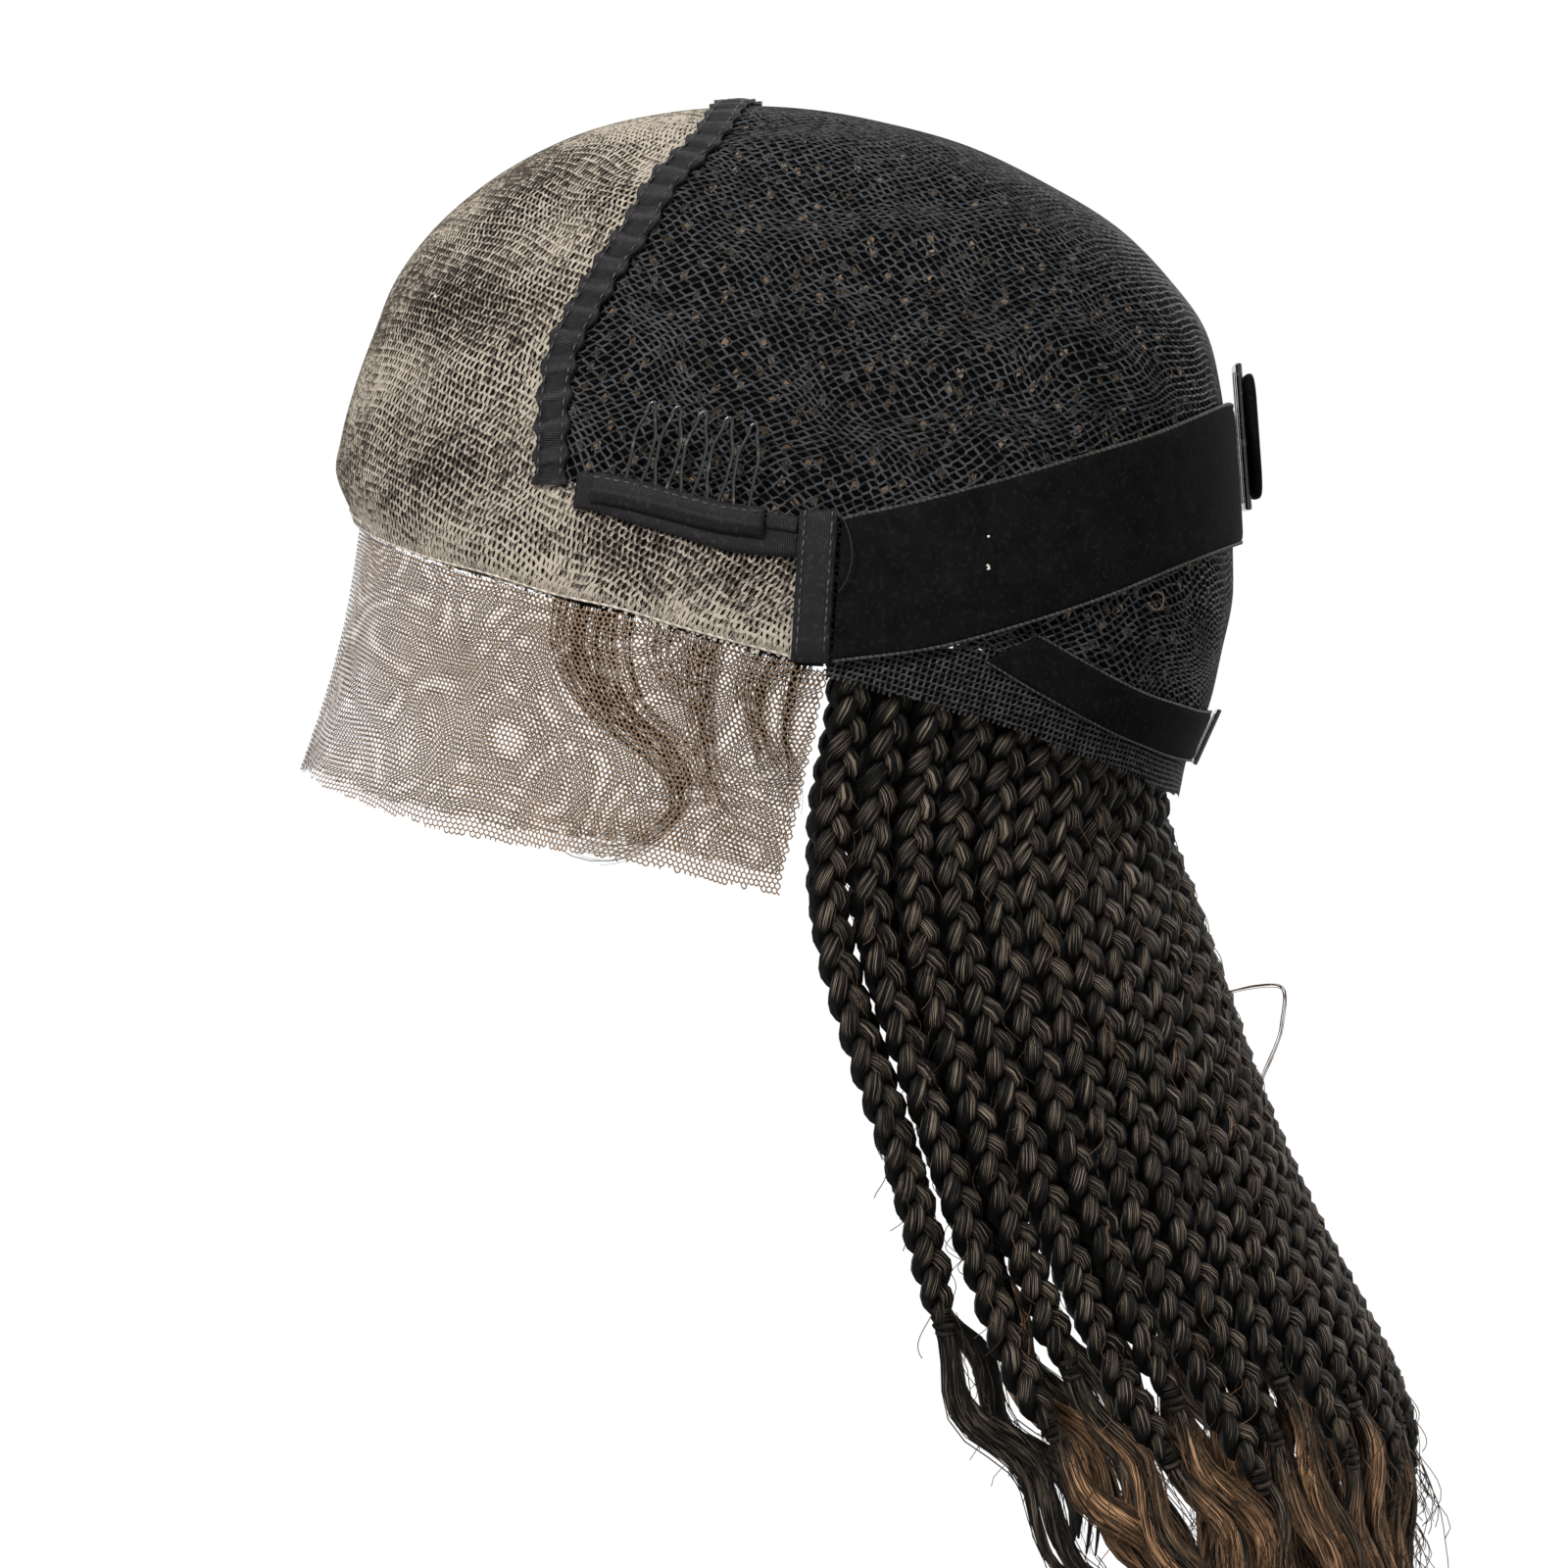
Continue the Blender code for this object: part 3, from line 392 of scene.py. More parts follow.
@dataclass(frozen=True)
class CapForm:
    """The cap's own form, from its middle outline and its level superellipse sections."""

    depth: float = 207.5 * MM
    rise: float = 138.2 * MM
    half_width: float = 76.0 * MM
    squareness: float = 2.35
    centre_back: float = 13.6 * MM
    wall: float = 1.2 * MM
    dent_height: float = 0.9 * MM
    # Columns: direction in degrees from the back upward, reach as a share of the rise
    outline: Table = (
        (-90.0, 0.800), (-40.0, 0.680), (-13.5, 0.629), (-8.3, 0.630), (-0.3, 0.659), (8.2, 0.690),
        (14.4, 0.722), (19.4, 0.742), (30.8, 0.804), (37.8, 0.859), (43.9, 0.905), (50.1, 0.925),
        (56.1, 0.941), (66.5, 0.952), (74.7, 0.967), (83.2, 0.979), (88.1, 0.989), (95.6, 1.004),
        (104.0, 1.019), (111.5, 1.030), (118.6, 1.031), (124.1, 1.026), (129.1, 1.016), (135.0, 0.993),
        (139.5, 0.963), (145.5, 0.930), (150.5, 0.905), (154.0, 0.886), (157.7, 0.830), (175.0, 0.780),
        (270.0, 0.800),
    )
    # Columns: behind the centre as a share of the depth, above it, radius, each as a share of the rise, height
    dents: Table = (
        (-0.430, 0.450, 0.116, 1.00), (-0.330, 0.620, 0.145, -0.89), (-0.300, 0.300, 0.101, 0.89),
        (-0.150, 0.180, 0.087, -0.67), (0.200, 0.700, 0.159, 1.00), (0.330, 0.560, 0.116, 0.89),
        (0.050, 0.560, 0.174, -0.89), (0.280, 0.240, 0.116, -0.67),
    )

    @property
    def centre(self) -> Array:
        """The point that the form is measured from, on the middle plane."""
        return np.array((0.0, self.centre_back, self.wall - self.rise))

    def reach(self, direction: Any) -> Array:
        """Distance from the centre to the middle outline."""
        directions, shares = zip(*self.outline)
        return self.rise * eased(directions, shares, direction)

    def share_out(self, points: Array) -> Array:
        """How far points are on their way from the centre to the outer face: (flat^n + wide^n)^(1/n).

        Args:
            points: Places in metres.

        Returns:
            1 on the outer face, less inside it.
        """
        offset = points - self.centre
        direction = np.degrees(np.arctan2(offset[..., 2], offset[..., 1]))
        direction = np.where(direction < -90.0, direction + 360.0, direction)
        flat = np.hypot(offset[..., 1], offset[..., 2]) / self.reach(direction)
        wide = np.abs(offset[..., 0]) / self.half_width
        return (flat**self.squareness + wide**self.squareness) ** (1.0 / self.squareness)

    def outward(self, points: Array) -> Array:
        """Outward normals: the slope of share_out, from small steps each way.

        Args:
            points: Places on or near the outer face.

        Returns:
            Directions of length 1.
        """
        step = 0.5 * MM
        slopes = [self.share_out(points + axis * step) - self.share_out(points - axis * step) for axis in np.eye(3)]
        return unit(np.stack(slopes, axis=-1))

    def seat(self, points: Array, lift: Any = 0.0) -> Array:
        """Brings points to the outer face along rays from the centre, then lifts them off it."""
        on_face = self.centre + (points - self.centre) / self.share_out(points)[..., None]
        return on_face + self.outward(on_face) * np.asarray(lift)[..., None]

    def side_line(self, table: Any, from_middle: bool = True) -> Array:
        """A line on the left half of the cap from its side view.

        Args:
            table: Rows of distance behind the centre as a share of the depth, and height as a share of the rise.
            from_middle: Puts the first point on the middle plane.

        Returns:
            The line's points on the outer face.
        """
        along, up = np.asarray(table, float).T
        y = along * self.depth
        z = up * self.rise
        out = np.minimum(np.hypot(y, z) / self.reach(np.degrees(np.arctan2(z, y))), 1.0)
        x = self.half_width * (1.0 - out**self.squareness) ** (1.0 / self.squareness)
        if from_middle:
            x[0] = 0.0
        return self.seat(np.stack([x, y, z], axis=1) + self.centre)

    def ruled(self, first: Array, last: Array, rows: int) -> Array:
        """Rows of points over the cap from one line to another, by equal turns round the centre.

        Args:
            first: The first row's line.
            last: The last row's line, with as many points.
            rows: How many rows.

        Returns:
            The grid on the outer face.
        """
        scale = np.array((self.half_width, self.rise, self.rise))
        start = unit((first - self.centre) / scale)
        end = unit((last - self.centre) / scale)
        angle = np.arccos(np.clip((start * end).sum(axis=-1, keepdims=True), -1.0, 1.0))
        t = np.linspace(0.0, 1.0, rows)[:, None, None]
        turned = (np.sin((1 - t) * angle) * start + np.sin(t * angle) * end) / np.sin(angle)
        return self.seat(self.centre + turned * scale)

    def trimmed(self, line: Array, other: Array, by: float) -> Array:
        """A line moved sideways over the cap.

        Args:
            line: The line.
            other: The line that it moves toward.
            by: How far.

        Returns:
            The moved line.
        """
        sideways = unit(np.cross(self.outward(line), np.gradient(line, axis=0)))
        middle = len(line) // 2
        toward = np.sign(sideways[middle] @ (other[middle] - line[middle]))
        return self.seat(line + sideways * toward * by)

    def dented(self, points: Array) -> Array:
        """Height of the shallow dents and bumps, each a bell curve in the side view.

        Args:
            points: Places on the cap.

        Returns:
            The height at each.
        """
        raised = np.zeros(points.shape[:-1])
        for along, up, radius, height in self.dents:
            y = self.centre_back + along * self.depth
            z = self.centre[2] + up * self.rise
            away = np.hypot(points[..., 1] - y, points[..., 2] - z) / (radius * self.rise)
            raised = raised + height * self.dent_height * np.exp(-(away**2))
        return raised

    def above(self, points: Array, lift: Any) -> Array:
        """Points lifted off the panels, dents and all."""
        return self.seat(points, lift + self.dented(points))

    def strip(self, line: Array, half_width: Any, rows: int) -> Array:
        """A tape's grid: the line moved sideways over the cap by even shares of its half width.

        Args:
            line: The tape's middle line.
            half_width: Half its width, one or one a point.
            rows: Points across.

        Returns:
            The grid.
        """
        sideways = unit(np.cross(self.outward(line), np.gradient(line, axis=0)))
        half = np.broadcast_to(half_width, len(line))[:, None]
        share = np.linspace(-1.0, 1.0, rows)[:, None, None]
        return self.seat(line + sideways * half * share)

    def laid(self, flat: Array) -> tuple[Array, Array]:
        """Lays a flat pattern on the left half: a point goes from the centre over the cap by its own distance.

        Each meridian is the superellipse from the centre to the middle outline, and its length is summed in a
        table over its reach, which is read backwards.

        Args:
            flat: Rows of distance back and up from the centre, in metres.

        Returns:
            Points on the outer face, and which of them had to stop at the middle plane.
        """
        direction = np.degrees(np.arctan2(flat[..., 1], flat[..., 0]))
        direction = np.where(direction < -90.0, direction + 360.0, direction)
        reach = self.reach(direction)
        run = np.hypot(flat[..., 0], flat[..., 1])
        fine = 240
        t = np.sin(np.linspace(0.0, math.pi / 2, fine))
        reaches = np.linspace(0.55, 1.10, 23) * self.rise
        x = self.half_width * (1.0 - t**self.squareness) ** (1.0 / self.squareness)
        lengths = [runs_along(np.stack([x, t * each], axis=1)) for each in reaches]
        table = np.array([np.interp(np.linspace(0.0, 1.0, fine), each / each[-1], t) for each in lengths])
        totals = np.array([each[-1] for each in lengths])
        total = np.interp(reach, reaches, totals)
        over = run >= total
        row = np.clip((reach - reaches[0]) / (reaches[1] - reaches[0]), 0, len(reaches) - 1.001)
        column = np.clip(run / total, 0.0, 0.99999) * (fine - 1)
        i, j = row.astype(int), column.astype(int)
        a, b = row - i, column - j
        share = (1 - a) * ((1 - b) * table[i, j] + b * table[i, j + 1])
        share += a * ((1 - b) * table[i + 1, j] + b * table[i + 1, j + 1])
        share = np.where(over, 1.0, share)
        wide = self.half_width * (1.0 - share**self.squareness) ** (1.0 / self.squareness)
        level = np.radians(direction)
        offset = np.stack([wide, np.cos(level) * share * reach, np.sin(level) * share * reach], axis=-1)
        return self.centre + offset, over


CAP = CapForm()


def nearness(points: Array, lines: Sequence[Array], fade: float) -> Array:
    """How near places are to any of some lines in the side view: exp(-distance / fade).

    Args:
        points: Places on the cap.
        lines: Lines of points.
        fade: Distance over which it falls.

    Returns:
        1 on a line, 0 far off.
    """
    spots = np.concatenate([line[:, 1:] for line in lines])
    flat = points.reshape(-1, 3)[:, 1:]
    away = np.min(np.linalg.norm(flat[:, None] - spots[None], axis=-1), axis=1)
    return np.exp(-away / fade).reshape(points.shape[:-1])


def both_sides(half: Array) -> Array:
    """A line from the left end over the middle to the right end, from its left half."""
    return np.concatenate([half[::-1], half[1:] * (-1, 1, 1)])


Value = Union["Socket", float]


class Socket:
    """A node's number output that can be used in Python expressions, each operator adding a Math node."""

    def __init__(self, nodes: "Finish", link: Any) -> None:
        """Keeps the finish and the output.

        Args:
            nodes: The finish being made.
            link: The node output.
        """
        self.nodes = nodes
        self.link = link

    def _math(self, operation: str, first: Value, second: Value = 0.0) -> "Socket":
        """One Math node."""
        return self.nodes.node("ShaderNodeMath", {"operation": operation}, {0: first, 1: second})

    def __add__(self, other: Value) -> "Socket":
        """This plus other."""
        return self._math("ADD", self, other)

    def __sub__(self, other: Value) -> "Socket":
        """This minus other."""
        return self._math("SUBTRACT", self, other)

    def __mul__(self, other: Value) -> "Socket":
        """This times other."""
        return self._math("MULTIPLY", self, other)

    def sine(self) -> "Socket":
        """Sine of this, in radians."""
        return self._math("SINE", self)

    def between(self, low: float, high: float) -> "Socket":
        """Maps low to 0 and high to 1, held outside."""
        values = {"Value": self, "From Min": low, "From Max": high}
        return self.nodes.node("ShaderNodeMapRange", {"interpolation_type": "SMOOTHSTEP"}, values)


Colour = tuple[float, float, float]


class Finish:
    """A finish, labelled with a slot name, with its node tree open for its own weave."""

    def __init__(self, name: str, slot: str) -> None:
        """Starts an empty material.

        Args:
            name: The finish's name.
            slot: The record's material slot that it is meant for, kept on the finish and not used.
        """
        self.slot = slot
        self.made = bpy.data.materials.new(name)
        self.made.use_nodes = True
        self.tree = self.made.node_tree
        self.shader = self.tree.nodes["Principled BSDF"]

    def node(self, kind: str, settings: dict[str, Any], values: dict[Any, Any], output: Any = 0) -> Socket:
        """Adds one node: its settings first, then the values or links of its sockets.

        Args:
            kind: The node's type.
            settings: Attributes of the node.
            values: Sockets by name or number.
            output: Which output is wanted.

        Returns:
            That output.
        """
        made = self.tree.nodes.new(kind)
        for key, value in settings.items():
            setattr(made, key, value)
        for key, value in values.items():
            if isinstance(value, Socket):
                self.tree.links.new(value.link, made.inputs[key])
            else:
                made.inputs[key].default_value = value
        return Socket(self, made.outputs[output])

    def place(self, output: str = "Object") -> Socket:
        """The place on the object, or its surface map."""
        return self.node("ShaderNodeTexCoord", {}, {}, output)

    def scaled(self, vector: Socket, scale: tuple[float, float, float]) -> Socket:
        """A vector stretched along each axis."""
        return self.node("ShaderNodeMapping", {}, {"Vector": vector, "Scale": scale})

    def split(self, vector: Socket) -> list[Socket]:
        """The three numbers of a vector."""
        first = self.node("ShaderNodeSeparateXYZ", {}, {0: vector})
        return [Socket(self, out) for out in first.link.node.outputs]

    def noise(self, vector: Socket, scale: float, detail: float = 3.0, roughness: float = 0.5) -> Socket:
        """Soft random numbers from 0 to 1."""
        values = {"Vector": vector, "Scale": scale, "Detail": detail, "Roughness": roughness}
        return self.node("ShaderNodeTexNoise", {}, values)

    def tone(self) -> Socket:
        """The tone stored at each point."""
        return self.node("ShaderNodeAttribute", {"attribute_name": "tone"}, {}, "Fac")

    def blend(self, share: Value, first: Any, second: Any) -> Socket:
        """One colour or the other by a share.

        Args:
            share: 0 for the first, 1 for the second.
            first: A colour or a link.
            second: A colour or a link.

        Returns:
            The mixed colour.
        """
        made = self.tree.nodes.new("ShaderNodeMix")
        made.data_type = "RGBA"
        for key, value in ((0, share), (6, first), (7, second)):
            if isinstance(value, Socket):
                self.tree.links.new(value.link, made.inputs[key])
            else:
                made.inputs[key].default_value = (*value, 1.0) if key else value
        return Socket(self, made.outputs[2])

    def set(self, **sockets: Any) -> None:
        """Sets sockets of the shader.

        Args:
            sockets: A value, a colour or a link for each socket, named with underscores for spaces.
        """
        for key, value in sockets.items():
            target = self.shader.inputs[key.replace("_", " ")]
            if isinstance(value, Socket):
                self.tree.links.new(value.link, target)
            elif isinstance(value, tuple):
                target.default_value = (*value, 1.0)
            else:
                target.default_value = value

    def bump(self, height: Socket, depth: float, strength: float = 1.0) -> None:
        """Raises the surface by a height from 0 to 1 times a depth in metres."""
        values = {"Height": height, "Strength": strength, "Distance": depth}
        self.set(Normal=self.node("ShaderNodeBump", {}, values))

    def dress(self, piece: bpy.types.Object) -> bpy.types.Object:
        """Gives the finish to a piece.

        Args:
            piece: The piece.

        Returns:
            The same piece.
        """
        piece.data.materials.clear()
        piece.data.materials.append(self.made)
        return piece


@dataclass(frozen=True)
class HairFinish:
    """Synthetic hair: fine fibres along the strand, dark with paler ones among them; the pale fibres are the hair's
    own colour and also the painted highlight on the strands' crests.
    """

    name: str
    dark: Colour
    pale: Colour
    tip: Colour
    tip_pale: Colour
    roughness: float = 0.55
    fibres: float = 52.0
    gloss: float = 0.12

    def make(self) -> Finish:
        """Fibre noise is stretched along the map.

        A tone above 0 turns the dark root to the brown tip, and one below 0 takes the pale fibres away: on the
        plaits, knots and locks that is painted shade, in the dips and on the inner sides.

        Returns:
            The finish.
        """
        finish = Finish(self.name, "dark_braid")
        fibre = finish.noise(finish.scaled(finish.place("UV"), (90.0, self.fibres, 1.0)), 1.0, 2.0, 0.6)
        coarse = finish.noise(finish.scaled(finish.place("UV"), (50.0, self.fibres * 0.3, 1.0)), 1.0, 1.0)
        tone = finish.tone()
        # open_share keeps the pale fibres where the tone is near 0; a low tone is painted shade on the plaits, knots
        # and locks.
        open_share = (tone + 1.0).between(0.38, 1.02)
        mixed = fibre * 0.75 + coarse * 0.25
        root = finish.blend(mixed.between(0.52, 0.59) * open_share, self.dark, self.pale)
        tip = finish.blend(mixed.between(0.47, 0.59) * open_share, self.tip, self.tip_pale)
        finish.set(Base_Color=finish.blend(tone.between(0.0, 0.9), root, tip), Roughness=self.roughness)
        finish.set(Specular_IOR_Level=self.gloss)
        finish.bump(fibre * 0.8 + coarse * 0.4, 0.9 * MM, 1.0)
        return finish


@dataclass(frozen=True)
class ThreadFinish:
    """Twisted thread of a net or a knit."""

    name: str
    slot: str
    colour: Colour
    # The dark colour: the thread's darker tone, and the painted shade between its plies.
    deep: Colour
    roughness: float = 0.6
    gloss: float = 0.3
    twist: float = 2600.0

    def make(self) -> Finish:
        """A slanted wave along the thread sinks it between its plies and darkens it there, painted shade between the
        plies.

        Returns:
            The finish.
        """
        finish = Finish(self.name, self.slot)
        u, v, _ = finish.split(finish.place("UV"))
        plies = (u * self.twist + v * 4.0).sine() * 0.5 + 0.5
        cloud = finish.noise(finish.place(), 160.0, 3.0)
        # The plies' share is painted shade in the grooves between plies; the cloud and the tone vary the thread's own
        # colour.
        share = (plies * 0.35 + cloud * 0.65 + finish.tone() * 0.5).between(0.25, 0.90)
        finish.set(Base_Color=finish.blend(share, self.deep, self.colour), Roughness=self.roughness)
        finish.set(Specular_IOR_Level=self.gloss)
        finish.bump(plies, 0.12 * MM, 0.6)
        return finish


@dataclass(frozen=True)
class ClothFinish:
    """Woven or knitted cloth, its ribs across and along its own map."""

    name: str
    slot: str
    colour: Colour
    pale: Colour
    ribs: float
    wales: float
    roughness: float
    gloss: float
    sheen: float = 0.0
    depth: float = 0.12 * MM

    def make(self) -> Finish:
        """Two waves cross in the map, one for the ribs and one for the wales, with lint over them.

        Returns:
            The finish.
        """
        finish = Finish(self.name, self.slot)
        u, v, _ = finish.split(finish.place("UV"))
        waver = finish.noise(finish.place(), 240.0, 2.0) * 1.6
        ribs = (u * self.ribs + waver).sine() * 0.5 + 0.5
        wales = (v * self.wales + waver).sine() * 0.5 + 0.5
        weave = ribs * 0.6 + ribs * wales * 0.4
        lint = finish.noise(finish.place(), 900.0, 2.0).between(0.52, 0.74)
        cloud = finish.noise(finish.place(), 55.0, 3.0)
        # On the ribbon the stored tone is painted highlight and shade on its folds; on every other cloth it is 0.
        share = (weave * 0.5 + lint * 0.35 + cloud * 0.3 + finish.tone() * 0.6).between(0.2, 1.0)
        finish.set(Base_Color=finish.blend(share, self.colour, self.pale))
        finish.set(Roughness=self.roughness, Sheen_Weight=self.sheen, Sheen_Roughness=0.4)
        finish.set(Specular_IOR_Level=self.gloss)
        finish.bump(weave + lint * 0.3, self.depth, 0.8)
        return finish


@dataclass(frozen=True)
class MetalFinish:
    """Black coated wire or plate, worn bright in places, the bright spots also a painted glint."""

    name: str
    colour: Colour
    worn_and_glint: Colour
    roughness: float = 0.25

    def make(self) -> Finish:
        """Small noise wears the coat through, and dulls it; the worn spots are also painted glints.

        Returns:
            The finish.
        """
        finish = Finish(self.name, "black_metal")
        wear_and_glint = finish.noise(finish.place(), 420.0, 4.0, 0.6).between(0.56, 0.72)
        finish.set(Base_Color=finish.blend(wear_and_glint, self.colour, self.worn_and_glint), Metallic=0.2)
        finish.set(Coat_Weight=0.7, Coat_Roughness=0.15)
        finish.set(Roughness=finish.noise(finish.place(), 700.0, 2.0) * 0.2 + self.roughness - 0.1)
        finish.bump(finish.noise(finish.place(), 900.0, 2.0), 0.05 * MM, 0.4)
        return finish


class Finishes:
    """Every finish of the wig, made once."""

    def __init__(self) -> None:
        """Makes them."""
        self.knit = ThreadFinish(
            "taupe_thread", "taupe_knit", (0.330, 0.285, 0.230), (0.046, 0.038, 0.030), roughness=0.8, gloss=0.12
        ).make()
        self.lining = ClothFinish(
            "dark_lining", "taupe_knit", (0.004, 0.0036, 0.0032), (0.024, 0.018, 0.013),
            ribs=2800.0, wales=2100.0, roughness=0.9, gloss=0.05,
        ).make()
        self.welt = ThreadFinish(
            "welt_thread", "taupe_knit", (0.62, 0.56, 0.48), (0.25, 0.21, 0.17), roughness=0.7
        ).make()
        self.net = ThreadFinish(
            "net_thread", "black_net", (0.038, 0.039, 0.042), (0.0009, 0.0010, 0.0012), roughness=0.55, gloss=0.18
        ).make()
        self.under = ClothFinish(
            "net_shadow", "black_net", (0.0009, 0.0009, 0.001), (0.004, 0.004, 0.0045),
            ribs=2400.0, wales=2400.0, roughness=0.95, gloss=0.02,
        ).make()
        self.sheer = ThreadFinish(
            "sheer_thread", "sheer_lace", (0.235, 0.155, 0.098), (0.110, 0.070, 0.042), roughness=0.7, gloss=0.1
        ).make()
        self.satin = ClothFinish(
            "gathered_satin", "black_satin", (0.0010, 0.0008, 0.0010), (0.0240, 0.0205, 0.0230),
            ribs=12500.0, wales=900.0, roughness=0.55, gloss=0.16, sheen=0.03,
        ).make()
        self.elastic = ClothFinish(
            "brushed_elastic", "black_elastic", (0.0006, 0.0006, 0.0007), (0.0075, 0.0072, 0.0075),
            ribs=0.0, wales=0.0, roughness=0.95, gloss=0.04,
        ).make()
        self.cord = ThreadFinish(
            "corded_edge", "black_elastic", (0.050, 0.050, 0.044), (0.006, 0.006, 0.006), roughness=0.7, twist=4200.0
        ).make()
        self.stitch = ThreadFinish(
            "black_stitch", "black_satin", (0.050, 0.049, 0.052), (0.006, 0.006, 0.007), roughness=0.5, gloss=0.35
        ).make()
        self.metal = MetalFinish("coated_wire", (0.003, 0.003, 0.0032), (0.085, 0.085, 0.088), roughness=0.2).make()
        self.hair = HairFinish(
            "braided_hair", dark=(0.0006, 0.00045, 0.00035), pale=(0.205, 0.162, 0.118),
            tip=(0.012, 0.0060, 0.0028), tip_pale=(0.62, 0.350, 0.185),
        ).make()
        self.fine_hair = HairFinish(
            "fine_hair", dark=(0.004, 0.003, 0.0025), pale=(0.020, 0.014, 0.010),
            tip=(0.05, 0.03, 0.018), tip_pale=(0.20, 0.13, 0.08),
        ).make()
        self.knots = HairFinish(
            "hair_knots", dark=(0.060, 0.042, 0.027), pale=(0.56, 0.41, 0.28),
            tip=(0.22, 0.15, 0.10), tip_pale=(0.66, 0.50, 0.35),
        ).make()


def place(piece: bpy.types.Object, *nodes: str) -> bpy.types.Object:
    """Makes a finished piece ride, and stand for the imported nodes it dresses.

    Args:
        piece: The finished object.
        nodes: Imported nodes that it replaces.

    Returns:
        The piece.
    """
    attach(piece, "root")
    if nodes:
        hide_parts(*nodes)
    faces = np.zeros(len(piece.data.polygons), np.int32)
    piece.data.polygons.foreach_get("loop_total", faces)
    LOG.info("%s: %d triangles", piece.name, int((faces - 2).sum()))
    return piece


@dataclass(frozen=True)
class Lines:
    """Lines on the cap seen from the side. Columns: shares of the depth behind and of the rise above the centre."""

    hairline: Table = (
        (-0.508, 0.312), (-0.459, 0.265), (-0.405, 0.236), (-0.345, 0.212), (-0.269, 0.177), (-0.202, 0.154),
        (-0.141, 0.126), (-0.080, 0.101), (-0.025, 0.079),
    )
    crown_seam: Table = (
        (-0.077, 1.000), (-0.121, 0.912), (-0.165, 0.836), (-0.190, 0.766), (-0.216, 0.710), (-0.243, 0.641),
        (-0.266, 0.574), (-0.276, 0.494), (-0.278, 0.412), (-0.279, 0.352),
    )
    ear_tape: Table = (
        (-0.252, 0.343), (-0.235, 0.340), (-0.186, 0.318), (-0.135, 0.296), (-0.098, 0.278), (-0.053, 0.268),
        (-0.016, 0.265),
    )
    crown_corner: Table = ((-0.278, 0.372),)
    under_tab: Table = ((0.006, 0.262),)
    nape_join: Table = (
        (0.426, -0.048), (0.385, -0.036), (0.325, -0.004), (0.250, 0.055), (0.190, 0.094), (0.124, 0.100),
        (0.070, 0.092), (0.018, 0.084),
    )
    nape_edge: Table = (
        (0.407, -0.146), (0.379, -0.135), (0.327, -0.098), (0.269, -0.067), (0.214, -0.035), (0.160, -0.009),
        (0.089, 0.020), (0.016, 0.050),
    )
    band_top: Table = ((0.462, 0.497), (0.344, 0.428), (0.251, 0.382), (0.124, 0.328), (0.028, 0.295))
    band_bottom: Table = (
        (0.473, 0.276), (0.381, 0.223), (0.305, 0.175), (0.218, 0.131), (0.124, 0.093), (0.018, 0.071),
    )
    strap_top: Table = ((0.434, -0.008), (0.404, -0.002), (0.344, 0.026), (0.269, 0.084), (0.235, 0.112))
    strap_bottom: Table = ((0.414, -0.089), (0.365, -0.071), (0.306, -0.034), (0.232, 0.024), (0.178, 0.072))
    tab_top: Table = ((-0.016, 0.309), (0.024, 0.309))
    tab_bottom: Table = ((-0.026, 0.070), (0.014, 0.067))
    comb_tape: Table = ((-0.234, 0.348), (-0.196, 0.337), (-0.150, 0.319), (-0.098, 0.299), (-0.054, 0.290))
    comb_feet: Table = ((-0.196, 0.341), (-0.075, 0.302))
    lace_top: Table = (
        (-0.503, 0.300), (-0.459, 0.258), (-0.405, 0.229), (-0.345, 0.205), (-0.269, 0.170), (-0.202, 0.147),
        (-0.141, 0.119), (-0.080, 0.094), (-0.025, 0.071), (0.016, 0.058),
    )
    lace_bottom: Table = (
        (-0.581, -0.109), (-0.559, -0.118), (-0.520, -0.150), (-0.440, -0.188), (-0.379, -0.212),
        (-0.288, -0.232), (-0.204, -0.249), (-0.121, -0.278), (-0.038, -0.304),
    )

    @property
    def crown(self) -> Array:
        """The crown net's side-view polygon in metres."""
        beyond = ((-0.077, 1.9), (0.9, 1.9), (0.9, -0.048))
        return self.corners(self.crown_seam[::-1], beyond, self.nape_join, self.ear_tape[::-1])

    def corners(self, *tables: Table) -> Array:
        """Side-view polygon in metres through the tables one after another."""
        rows = np.array([row for table in tables for row in table])
        return rows * (CAP.depth, CAP.rise) + CAP.centre[1:]


LINES = Lines()


